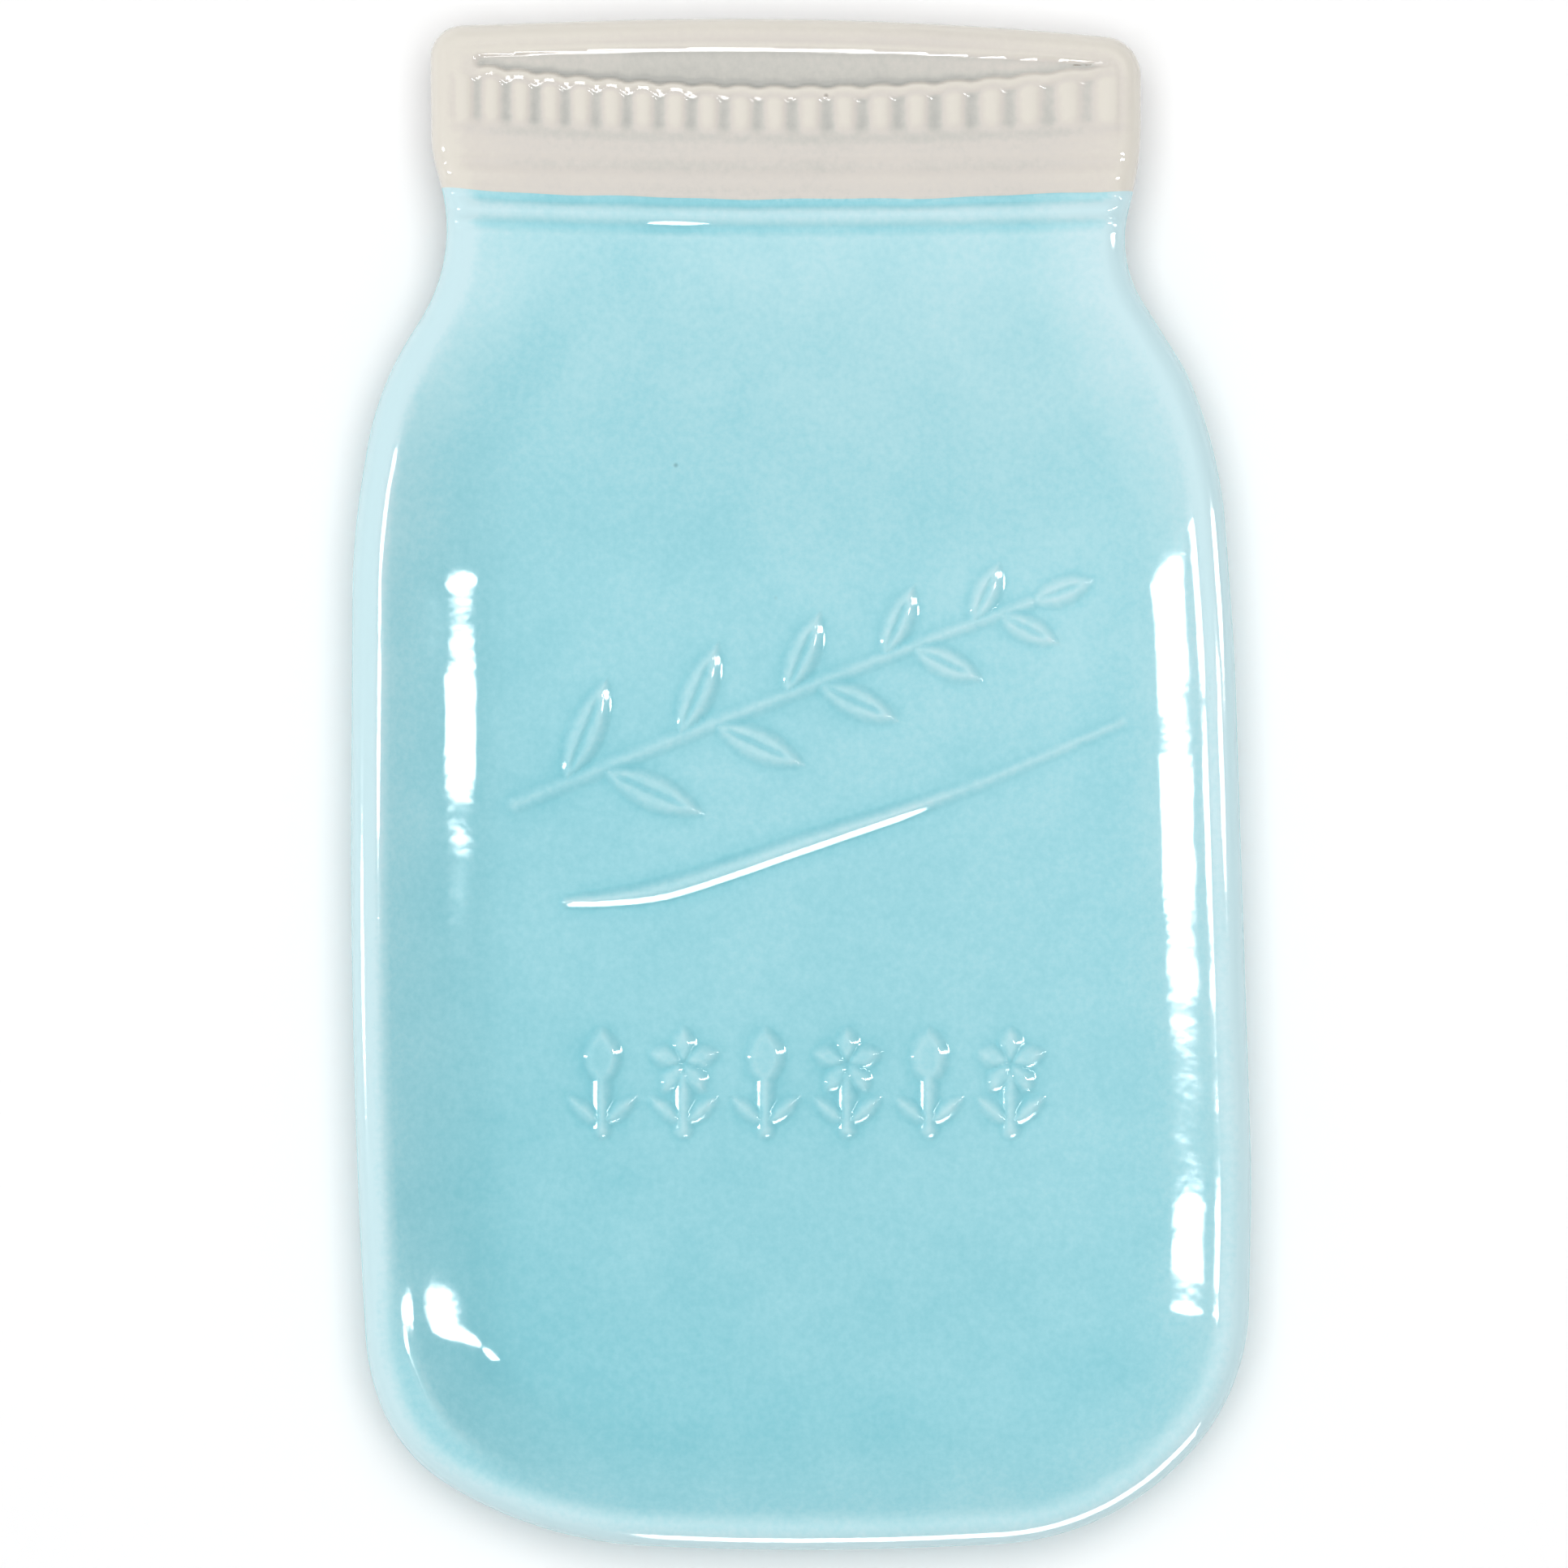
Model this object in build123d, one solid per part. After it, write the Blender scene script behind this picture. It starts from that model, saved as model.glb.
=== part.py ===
from build123d import *
import math
import os

# A shallow glazed stoneware dish, a spoon rest, in the outline of a screw-lid canning jar.
# It lies flat: +Z is up, +Y points to the lid end, and the origin is the centre of the plan
# outline on the plane that the foot ring stands on. All sizes are in millimetres.
#
# The dish is one casting of clay (clay_body) with two fired coats of glaze on it, one on the
# jar (aqua_glaze) and one on the lid (ivory_glaze). The foot ring and the recess inside it
# are left bare.

# Driving dimensions, heights first.
FOOT_HEIGHT = 2.0            # foot ring, below the underside
CLAY_THICKNESS = 5.0
GLAZE_THICKNESS = 0.4
LID_BELOW_RIM = 0.3          # the lid's face lies this far under the rim

# Section of the rim and wall, as distances in from the clay's edge, which lies one glaze
# thickness inside the glazed outline.
CREST_INSET = 3.5            # top of the rim
CREST_FLAT = 0.3             # half the width of the rim's flat top
RIM_ROUND_DROP = 4.0         # from the top of the rim down to its widest line
STEEPEST_INSET = 5.5         # where the inner wall is steepest
FLOOR_INSET = 24.4           # where the wall has run out into the floor
STEEPEST_SLOPE = 0.9         # rise over run at that place
UNDER_INSET = 17.5           # where the outer wall has run out into the underside
UNDER_LIP_INSET = 0.8        # where the outer wall meets the rounded rim
UNDER_LIP_DROP = 2.0         # and how far that lies below the widest line

# The floor climbs from the basin to the lid's face between these two places along Y.
RAMP_START_Y = 30.0
RAMP_END_Y = 84.0

# Foot ring under the basin: it follows the jar's outline and is closed across the front.
FOOT_INSET = 16.0
FOOT_WIDTH = 4.0
FOOT_FRONT_CORNERS = [(65.4, 60.0, 28), (-68.4, 60.0, 28)]
FOOT_LAST_Y = 30.0           # the jar's corners up to here belong to the foot as well

# The line where the two glazes meet, an arc that sags a little in the middle.
GLAZE_LINE_END_Y = 91.0
GLAZE_LINE_MIDDLE_Y = 89.4

# Corners of the glazed plan outline, counter-clockwise from the lid's right: x, y, radius.
LID_CORNERS = [
    (52.2, 96.0, 46), (52.2, 114.2, 6), (7.7, 118.4, 600), (-56.9, 116.3, 5), (-56.7, 97.0, 18),
]
JAR_CORNERS = [
    (-52.3, 81.0, 26), (-65.1, 60.6, 48), (-68.8, 38.1, 115), (-69.3, -40.2, 1300),
    (-66.6, -89.5, 35), (-61.8, -102.8, 25), (-40.3, -116.1, 63), (0.3, -118.1, 480),
    (46.0, -115.9, 42), (68.5, -94.3, 34), (69.2, -60.5, 188), (66.6, 20.0, 410),
    (64.4, 50.0, 70), (59.2, 63.3, 29), (48.5, 80.3, 18),
]
CORNERS = LID_CORNERS + JAR_CORNERS
LID_REACH = 6.0              # the lid's corners move in by no more than this
SMALLEST_RADIUS = 1.5

# Values worked out from the ones above.
UNDERSIDE_Z = FOOT_HEIGHT
FLOOR_Z = UNDERSIDE_Z + CLAY_THICKNESS
BASIN_DEPTH = STEEPEST_SLOPE * (FLOOR_INSET - CREST_INSET) / 2
RIM_Z = FLOOR_Z + BASIN_DEPTH
LID_Z = RIM_Z - LID_BELOW_RIM
WIDEST_Z = RIM_Z - RIM_ROUND_DROP
FAR = 200.0                  # larger than the whole dish

# Relief on the lid.
RIB_HOLLOWS = 19
RIB_FIRST_X = -49.5
RIB_FIRST_PITCH = 4.36
RIB_PITCH_GROWTH = 0.046     # the ribs stand a little wider apart towards the right
RIB_HOLLOW_WIDTH = 1.9
RIB_HOLLOW_TOP_Y = 108.6
RIB_HOLLOW_BOTTOM_Y = 101.0
RIB_ROW_SAG = 2.6            # the row hangs this much lower in the middle than at its ends
RIB_HOLLOW_DEPTH = 0.8
HOLLOW_LEAN = 0.2
LENS_LEFT = (-49.4, 112.2)
LENS_RIGHT = (47.6, 110.4)
LENS_TOP_MIDDLE_Y = 112.9
LENS_BOTTOM_MIDDLE_Y = 106.6
LENS_DEPTH = 1.6

# Raised bands across the lid and the neck: middle y, sag of the middle, half width, height.
NECK_BANDS = [(92.6, 1.2, 1.3, 0.4), (87.6, 1.0, 1.3, 0.6)]
BAND_HALF_LENGTH = 46.0

# Relief in the basin.
RELIEF_HEIGHT = 0.9
RELIEF_LEAN = 0.5            # how far the sides of the relief lean in over its height
SWOOSH_SPINE = [(-36.0, -18.2), (-21.0, -16.2), (1.6, -8.8), (25.0, -0.9), (49.6, 9.6)]
SWOOSH_HALF_WIDTHS = [0.8, 1.7, 1.6, 1.2, 0.8]

# The sprig: its stem, and its leaves as place along the stem, length, width and lean from it.
STEM_START = (-44.0, -3.0)
STEM_MIDDLE = (0.0, 14.6)
STEM_END = (35.5, 28.0)
STEM_HALF_WIDTH = 0.9
LEAF_PAIRS = 5
LEAF_LENGTHS = (17.0, 10.0)      # at the foot of the sprig and at its tip
LEAF_WIDTHS = (5.4, 4.2)
LEAF_LEAN = 46.0
TIP_LEAF_LENGTH = 10.0

# The row of small ornaments under the swoosh: buds and blossoms by turns.
ORNAMENT_COUNT = 6
ORNAMENT_PITCH = 12.6
ORNAMENT_ROW_X = 0.8
ORNAMENT_ROW_Y = -46.1
ORNAMENT_HEIGHT = 17.0
ORNAMENT_STROKE = 2.6        # width of the stems and of their small leaves
BUD_WIDTH = 5.6
PETAL_COUNT = 5
PETAL_LENGTH = 5.4
PETAL_WIDTH = 3.4
SMALL_LEAF_LENGTH = 6.6
SMALL_LEAF_HEADINGS = (40, 140)
SMALL_LEAF_RISE = 2.0        # their base over the foot of the stem


def inset_corners(corners, inset):
    """An outline's corners moved in by inset, each with its new radius."""
    moved = []
    for i, (x, y, radius) in enumerate(corners):
        before = Vector(*corners[i - 1][:2])
        here = Vector(x, y)
        after = Vector(*corners[(i + 1) % len(corners)][:2])
        along_in = (here - before).normalized()
        along_out = (after - here).normalized()
        normal_in = Vector(-along_in.Y, along_in.X)
        normal_out = Vector(-along_out.Y, along_out.X)
        step = min(inset, LID_REACH) if (x, y, radius) in LID_CORNERS else inset
        bulges = along_in.X * along_out.Y - along_in.Y * along_out.X > 0
        place = here + (normal_in + normal_out) * (step / (1 + normal_in.dot(normal_out)))
        wanted = radius - step if bulges else radius + step
        moved.append((place, max(wanted, SMALLEST_RADIUS)))
    return moved


def rounded_wire(outline, inset, z):
    """A glazed outline moved in to inset from the clay's edge, with tangent arcs at its corners."""
    corners = inset_corners(outline, inset + GLAZE_THICKNESS)
    arcs = []
    for i, (here, radius) in enumerate(corners):
        to_before = corners[i - 1][0] - here
        to_after = corners[(i + 1) % len(corners)][0] - here
        half_turn = math.radians(180 - to_before.get_angle(to_after)) / 2
        room = 0.49 * min(to_before.length, to_after.length)
        tangent = min(radius * math.tan(half_turn), room)
        radius = tangent / math.tan(half_turn)
        start = here + to_before.normalized() * tangent
        end = here + to_after.normalized() * tangent
        bisector = (to_before.normalized() + to_after.normalized()).normalized()
        middle = here + bisector * (radius / math.cos(half_turn) - radius)
        arcs.append((start, middle, end))
    edges = []
    for i, (start, middle, end) in enumerate(arcs):
        edges.append(Edge.make_three_point_arc(start, middle, end))
        edges.append(Edge.make_line(end, arcs[(i + 1) % len(arcs)][0]))
    return Wire(edges).moved(Location((0, 0, z)))


def stacked(profile):
    """A solid through the plan outline at each (inset, z) of the profile."""
    return Solid.make_loft([rounded_wire(CORNERS, inset, z) for inset, z in profile], ruled=True)


def grown(profile, by):
    """The profile moved sideways by a thickness, to the left of its run towards the top."""
    moved = []
    for i, (inset, z) in enumerate(profile):
        before = profile[max(i - 1, 0)]
        after = profile[min(i + 1, len(profile) - 1)]
        run, rise = after[0] - before[0], after[1] - before[1]
        length = math.hypot(run, rise)
        moved.append((inset - by * rise / length, z + by * run / length))
    return moved


def wall_height(inset):
    """Height of the inner wall at a distance in from the outline."""
    if inset < STEEPEST_INSET:
        bend = STEEPEST_SLOPE / (2 * (STEEPEST_INSET - CREST_INSET))
        return RIM_Z - bend * (inset - CREST_INSET) ** 2
    bend = STEEPEST_SLOPE / (2 * (FLOOR_INSET - STEEPEST_INSET))
    return FLOOR_Z + bend * (FLOOR_INSET - inset) ** 2


def outer_profile():
    """Underside to crest: the outer wall, then the rounded outside of the rim."""
    rise = WIDEST_Z - UNDER_LIP_DROP - UNDERSIDE_Z
    steps = 6
    profile = []
    for i in range(steps + 1):
        inset = UNDER_INSET + (UNDER_LIP_INSET - UNDER_INSET) * i / steps
        profile.append((inset, UNDERSIDE_Z + rise * (i / steps) ** 2))
    for angle in range(0, 90, 15):
        turn = math.radians(angle)
        inset = CREST_INSET * (1 - math.cos(turn))
        profile.append((inset, RIM_Z - RIM_ROUND_DROP * (1 - math.sin(turn))))
    profile.append((CREST_INSET - CREST_FLAT, RIM_Z))
    return profile


def basin_profile():
    """Floor to crest: the inner wall, as its distance in and its height."""
    steps = 10
    first = CREST_INSET + CREST_FLAT
    insets = [FLOOR_INSET + (first - FLOOR_INSET) * i / steps for i in range(steps + 1)]
    return [(inset, wall_height(inset)) for inset in insets]


def floor_height(y):
    """Height of the floor: level in the basin, then a smooth climb to the lid's face."""
    share = min(max((y - RAMP_START_Y) / (RAMP_END_Y - RAMP_START_Y), 0.0), 1.0)
    return FLOOR_Z + (LID_Z - FLOOR_Z) * share * share * (3 - 2 * share)


def ramp_prism(lift, bottom_z):
    """Everything between bottom_z and the floor's curve moved by lift, from the ramp on."""
    steps = 9
    span = RAMP_END_Y - RAMP_START_Y
    ys = [RAMP_START_Y + span * i / steps for i in range(steps + 1)]
    curve = Spline(*[(0, y, floor_height(y) + lift) for y in ys],
                   tangents=[(0, 1, 0), (0, 1, 0)])
    start, end = curve @ 0, curve @ 1
    rest = Polyline(end, (0, FAR, end.Z), (0, FAR, bottom_z), (0, start.Y, bottom_z), start)
    section = make_face([curve.edges()[0], *rest.edges()])
    return extrude(section, amount=FAR / 2, dir=(1, 0, 0), both=True)


def sagging_band(y, sag, half_width, half_length):
    """A band across the dish whose middle hangs lower than its ends, as a face at z = 0."""
    top = ThreePointArc((-half_length, y + half_width + sag / 2), (0, y + half_width - sag / 2),
                        (half_length, y + half_width + sag / 2))
    bottom = ThreePointArc((half_length, y - half_width + sag / 2), (0, y - half_width - sag / 2),
                           (-half_length, y - half_width + sag / 2))
    right = Line(top @ 1, bottom @ 0)
    left = Line(bottom @ 1, top @ 0)
    return make_face([top.edges()[0], right.edges()[0], bottom.edges()[0], left.edges()[0]])


def raised(foot, top, base_z, height):
    """A footprint raised from inside the clay, narrowing to its top face at its height."""
    depth = CLAY_THICKNESS / 2
    wires = [
        foot.face().outer_wire().moved(Location((0, 0, base_z - depth))),
        foot.face().outer_wire().moved(Location((0, 0, base_z))),
        top.face().outer_wire().moved(Location((0, 0, base_z + height))),
    ]
    return Solid.make_loft(wires, ruled=True)


def leaf(base, length, width, heading, grow):
    """A pointed leaf from its base, heading in degrees from +X, grown all round."""
    half = length / 2 + grow
    bulge = width / 2 + grow
    upper = ThreePointArc((-half, 0), (0, bulge), (half, 0))
    lower = ThreePointArc((half, 0), (0, -bulge), (-half, 0))
    shape = make_face([upper.edges()[0], lower.edges()[0]])
    turn = math.radians(heading)
    middle = (base[0] + length / 2 * math.cos(turn), base[1] + length / 2 * math.sin(turn))
    return shape.moved(Location((middle[0], middle[1], 0), (0, 0, heading)))


def stroke(start, end, width, grow):
    """A straight raised stroke with round ends."""
    dx, dy = end[0] - start[0], end[1] - start[1]
    length = math.hypot(dx, dy)
    place = Location(((start[0] + end[0]) / 2, (start[1] + end[1]) / 2, 0),
                     (0, 0, math.degrees(math.atan2(dy, dx))))
    return SlotCenterToCenter(length, width + 2 * grow).face().moved(place)


def swoosh_face(grow):
    """The long tapered ridge, as a face between two splines either side of its spine."""
    spine = Spline(*SWOOSH_SPINE)
    last = len(SWOOSH_SPINE) - 1
    upper, lower = [], []
    for i, half_width in enumerate(SWOOSH_HALF_WIDTHS):
        along = spine % (i / last)
        side = Vector(-along.Y, along.X) * (half_width + grow)
        middle = spine @ (i / last)
        upper.append(middle + side)
        lower.append(middle - side)
    upper_edge = Spline(*upper)
    lower_edge = Spline(*reversed(lower))
    tip = Line(upper_edge @ 1, lower_edge @ 0)
    butt = Line(lower_edge @ 1, upper_edge @ 0)
    return make_face([upper_edge.edges()[0], tip.edges()[0], lower_edge.edges()[0], butt.edges()[0]])


def sprig_faces(grow):
    """A stem with pairs of leaves along it and one leaf at its tip."""
    stem = ThreePointArc(STEM_START, STEM_MIDDLE, STEM_END)
    faces = []
    sides = []
    for side in (1, -1):
        ends = []
        for place in (0.0, 0.5, 1.0):
            along = stem % place
            ends.append(stem @ place + Vector(-along.Y, along.X) * side * (STEM_HALF_WIDTH + grow))
        sides.append(ends)
    upper = ThreePointArc(*sides[0])
    lower = ThreePointArc(*reversed(sides[1]))
    tip = Line(upper @ 1, lower @ 0)
    butt = Line(lower @ 1, upper @ 0)
    faces.append(make_face([upper.edges()[0], tip.edges()[0], lower.edges()[0], butt.edges()[0]]))
    for pair in range(LEAF_PAIRS):
        share = pair / (LEAF_PAIRS - 1)
        length = LEAF_LENGTHS[0] + (LEAF_LENGTHS[1] - LEAF_LENGTHS[0]) * share
        width = LEAF_WIDTHS[0] + (LEAF_WIDTHS[1] - LEAF_WIDTHS[0]) * share
        for side in (1, -1):
            place = 0.08 + 0.78 * share + (0.06 if side < 0 else 0.0)
            along = stem % place
            heading = math.degrees(math.atan2(along.Y, along.X)) + side * LEAF_LEAN
            faces.append(leaf(tuple(stem @ place), length, width, heading, grow))
    along = stem % 1
    heading = math.degrees(math.atan2(along.Y, along.X))
    faces.append(leaf(tuple(stem @ 1), TIP_LEAF_LENGTH, LEAF_WIDTHS[1], heading, grow))
    return faces


def bud_faces(x, y, grow):
    """The head of a bud: one broad leaf standing on the stem."""
    reach = ORNAMENT_HEIGHT / 2 + 0.5
    return [leaf((x, y + ORNAMENT_HEIGHT / 2 - reach), reach, BUD_WIDTH, 90, grow)]


def blossom_faces(x, y, grow):
    """The head of a blossom: petals all round one point."""
    centre = (x, y + ORNAMENT_HEIGHT / 2 - PETAL_LENGTH)
    turn = 360 / PETAL_COUNT
    headings = [90 + turn * i for i in range(PETAL_COUNT)]
    return [leaf(centre, PETAL_LENGTH, PETAL_WIDTH, heading, grow) for heading in headings]


def plant_faces(x, y, grow):
    """The stem that a bud or a blossom stands on, with its two small leaves."""
    bottom = y - ORNAMENT_HEIGHT / 2
    faces = [stroke((x, bottom + ORNAMENT_STROKE / 2), (x, y + 1.0), ORNAMENT_STROKE, grow)]
    for heading in SMALL_LEAF_HEADINGS:
        faces.append(leaf((x, bottom + SMALL_LEAF_RISE), SMALL_LEAF_LENGTH, ORNAMENT_STROKE,
                          heading, grow))
    return faces


def basin_faces(grow):
    """The footprints of all the raised ornament in the basin."""
    faces = [swoosh_face(grow)] + sprig_faces(grow)
    for i in range(ORNAMENT_COUNT):
        x = ORNAMENT_ROW_X + (i - (ORNAMENT_COUNT - 1) / 2) * ORNAMENT_PITCH
        head = bud_faces if i % 2 == 0 else blossom_faces
        faces += head(x, ORNAMENT_ROW_Y, grow) + plant_faces(x, ORNAMENT_ROW_Y, grow)
    return faces


def basin_relief(grow):
    """All raised ornament in the basin, as overlapping solids grown by the glaze."""
    feet, tops = basin_faces(grow), basin_faces(grow - RELIEF_LEAN)
    return [raised(foot, top, FLOOR_Z, RELIEF_HEIGHT + grow) for foot, top in zip(feet, tops)]


def lens_face(grow, z):
    """The lens-shaped recess over the ribs, as a face at its floor, narrowed by the glaze."""
    middle_x = (LENS_LEFT[0] + LENS_RIGHT[0]) / 2
    left = (LENS_LEFT[0] + grow, LENS_LEFT[1], z)
    right = (LENS_RIGHT[0] - grow, LENS_RIGHT[1], z)
    upper = ThreePointArc(left, (middle_x, LENS_TOP_MIDDLE_Y - grow, z), right)
    lower = ThreePointArc(right, (middle_x, LENS_BOTTOM_MIDDLE_Y + grow, z), left)
    return make_face([upper.edges()[0], lower.edges()[0]])


def lid_hollows(grow):
    """The hollows between the lid's ribs and the lens-shaped recess above them."""
    cuts = []
    for i in range(RIB_HOLLOWS):
        x = RIB_FIRST_X + RIB_FIRST_PITCH * i + RIB_PITCH_GROWTH * i * i
        sag = RIB_ROW_SAG * (1 - (x / RIB_FIRST_X) ** 2)
        low, high = RIB_HOLLOW_BOTTOM_Y - sag, RIB_HOLLOW_TOP_Y - sag
        mouth = stroke((x, low), (x, high), RIB_HOLLOW_WIDTH, -grow)
        bottom = stroke((x, low), (x, high), RIB_HOLLOW_WIDTH, -grow - HOLLOW_LEAN)
        wires = [
            bottom.face().outer_wire().moved(Location((0, 0, LID_Z + grow - RIB_HOLLOW_DEPTH))),
            mouth.face().outer_wire().moved(Location((0, 0, LID_Z + grow))),
            mouth.face().outer_wire().moved(Location((0, 0, RIM_Z * 2))),
        ]
        cuts.append(Solid.make_loft(wires, ruled=True))
    cuts.append(extrude(lens_face(grow, LID_Z + grow - LENS_DEPTH), amount=RIM_Z))
    return cuts


def neck_bands(grow):
    """The raised bands across the lid's lower edge and the neck."""
    bands = []
    for y, sag, half_width, height in NECK_BANDS:
        foot = sagging_band(y, sag, half_width + grow, BAND_HALF_LENGTH + grow)
        top = sagging_band(y, sag, half_width + grow - RELIEF_LEAN,
                           BAND_HALF_LENGTH + grow - RELIEF_LEAN)
        bands.append(raised(foot, top, LID_Z, height + grow))
    return bands


def dish(grow):
    """The dish without its foot ring, every surface moved out by grow."""
    envelope = stacked(grown(outer_profile(), grow))
    basin = grown(basin_profile(), -grow)
    basin[0] = (basin[0][0], FLOOR_Z + grow)
    basin[-1] = (CREST_INSET + CREST_FLAT, RIM_Z + grow)
    mouth = stacked(basin)
    lid_fill = ramp_prism(grow, UNDERSIDE_Z) & envelope
    body = envelope - mouth + lid_fill
    under_cut = ramp_prism(-CLAY_THICKNESS - grow, -FAR)
    body = body - under_cut
    body = body + basin_relief(grow) + neck_bands(grow)
    return body - lid_hollows(grow)


def foot_block(inset, top_z):
    """A block from the ground up inside the foot's outline moved in by inset."""
    corners = FOOT_FRONT_CORNERS + [corner for corner in JAR_CORNERS if corner[1] < FOOT_LAST_Y]
    return extrude(Face(rounded_wire(corners, inset, 0)), amount=top_z, dir=(0, 0, 1))


def foot_ring():
    """The ring that the dish stands on, carried up into the underside of the basin."""
    top_z = FOOT_HEIGHT + CLAY_THICKNESS / 2
    return foot_block(FOOT_INSET, top_z) - foot_block(FOOT_INSET + FOOT_WIDTH, top_z)


def lid_zone():
    """Everything on the lid's side of the line where the two glazes meet."""
    line = ThreePointArc((-FAR / 2, GLAZE_LINE_END_Y), (0, GLAZE_LINE_MIDDLE_Y),
                         (FAR / 2, GLAZE_LINE_END_Y))
    rest = Polyline(line @ 1, (FAR / 2, FAR), (-FAR / 2, FAR), line @ 0)
    return extrude(make_face([line.edges()[0], *rest.edges()]), amount=FAR, both=True)


def main():
    os.makedirs("parts", exist_ok=True)
    bare = dish(0)
    clay_body = bare + foot_ring()
    coat = dish(GLAZE_THICKNESS) - bare - foot_block(FOOT_INSET, FOOT_HEIGHT + CLAY_THICKNESS / 2)
    lid_side = lid_zone()
    nodes = {
        "clay_body": clay_body,
        "aqua_glaze": coat - lid_side,
        "ivory_glaze": coat & lid_side,
    }
    for name, shape in nodes.items():
        print(name, len(shape.solids()), round(shape.volume, 1), shape.is_valid)
        export_step(shape, f"parts/{name}.step")


main()
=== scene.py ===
import math

import bpy
import numpy as np
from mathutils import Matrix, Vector
from mathutils.geometry import delaunay_2d_cdt


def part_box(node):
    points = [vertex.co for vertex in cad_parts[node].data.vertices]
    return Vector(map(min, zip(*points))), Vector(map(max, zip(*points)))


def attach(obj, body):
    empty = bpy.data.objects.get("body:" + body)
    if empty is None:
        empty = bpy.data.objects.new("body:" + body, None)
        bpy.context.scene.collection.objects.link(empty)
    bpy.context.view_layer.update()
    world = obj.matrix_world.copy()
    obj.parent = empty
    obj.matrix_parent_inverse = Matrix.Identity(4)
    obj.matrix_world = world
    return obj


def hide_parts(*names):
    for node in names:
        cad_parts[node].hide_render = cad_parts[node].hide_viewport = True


# A shallow glazed stoneware dish in the outline of a screw-lid jar, as three closed pieces that
# replace the three CAD nodes: the clay body and its two glaze coats. The plan is worked in
# millimetres in the CAD frame, +Z up and +Y to the lid end, and turned to metres at the end.

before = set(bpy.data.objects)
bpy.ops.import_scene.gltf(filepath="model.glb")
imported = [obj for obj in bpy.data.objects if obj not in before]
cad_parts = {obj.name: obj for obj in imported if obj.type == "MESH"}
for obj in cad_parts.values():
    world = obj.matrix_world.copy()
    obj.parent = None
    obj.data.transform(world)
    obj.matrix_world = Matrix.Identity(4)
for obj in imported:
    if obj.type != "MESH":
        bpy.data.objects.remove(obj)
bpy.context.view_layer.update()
MM = 0.001
AQUA_TOP_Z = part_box("aqua_glaze")[1].z / MM
CLAY_LOW_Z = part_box("clay_body")[0].z / MM

# Heights and wall section, the design's driving dimensions, in millimetres.
GLAZE_THICKNESS = 0.4
FOOT_HEIGHT = 2.0
CLAY_THICKNESS = 5.0
NECK_BEAD_HEIGHT = 0.6
LID_BELOW_RIM = 0.3
CREST_INSET = 3.5
RIM_ROUND_DROP = 4.0
STEEPEST_INSET = 5.5
FLOOR_INSET = 24.4
UNDER_INSET = 17.5
UNDER_LIP_INSET = 0.8
UNDER_LIP_DROP = 2.0
RAMP_START_Y = 30.0
RAMP_END_Y = 84.0
FOOT_INSET = 16.4
FOOT_WIDTH = 4.0
FOOT_ROUND = 1.0  # radius of the foot ring's two lower edges
FOOT_FADE = 0.6  # how far the ring's inner side runs on into the recess
OUTSIDE_SLOPE = 3.0  # how steeply the surface is carried on outside the outline

# Corners of the glazed plan outline, counter-clockwise from the lid's right: x, y, radius.
LID_CORNERS = [
    (52.2, 96.0, 46), (52.2, 114.2, 6), (7.7, 118.4, 600), (-56.9, 116.3, 5), (-56.7, 97.0, 18),
]
JAR_CORNERS = [
    (-52.3, 81.0, 26), (-65.1, 60.6, 48), (-68.8, 38.1, 115), (-69.3, -40.2, 1300),
    (-66.6, -89.5, 35), (-61.8, -102.8, 25), (-40.3, -116.1, 63), (0.3, -118.1, 480),
    (46.0, -115.9, 42), (68.5, -94.3, 34), (69.2, -60.5, 188), (66.6, 20.0, 410),
    (64.4, 50.0, 70), (59.2, 63.3, 29), (48.5, 80.3, 18),
]
FOOT_FRONT_CORNERS = [(65.4, 60.0, 28), (-68.4, 60.0, 28)]
FOOT_FOLLOWS_BELOW_Y = 30.0  # the foot ring follows the jar's own outline up to here

# Heights worked out from the frame: everything hangs from the top of the aqua coat's bead.
LID_Z = AQUA_TOP_Z - NECK_BEAD_HEIGHT
RIM_Z = LID_Z + LID_BELOW_RIM
UNDERSIDE_Z = CLAY_LOW_Z + FOOT_HEIGHT
FLOOR_Z = UNDERSIDE_Z + CLAY_THICKNESS + GLAZE_THICKNESS
WIDEST_Z = RIM_Z - RIM_ROUND_DROP
UNDER_LIP_Z = WIDEST_Z - UNDER_LIP_DROP


# ---- plan outline

def corner_arcs(corners):
    """Each corner as (centre, radius, start point, end point, bulges) of its tangent arc."""
    arcs = []
    for i, (x, y, radius) in enumerate(corners):
        here = np.array((x, y))
        to_before = np.array(corners[i - 1][:2]) - here
        to_after = np.array(corners[(i + 1) % len(corners)][:2]) - here
        before = to_before / np.linalg.norm(to_before)
        after = to_after / np.linalg.norm(to_after)
        half = math.acos(float(np.clip(before @ after, -1, 1))) / 2
        tangent = radius / math.tan(half)
        middle = before + after
        centre = here + middle / np.linalg.norm(middle) * (radius / math.sin(half))
        bulges = before[0] * after[1] - before[1] * after[0] < 0
        arcs.append((centre, radius, here + before * tangent, here + after * tangent, bulges))
    return arcs


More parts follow.
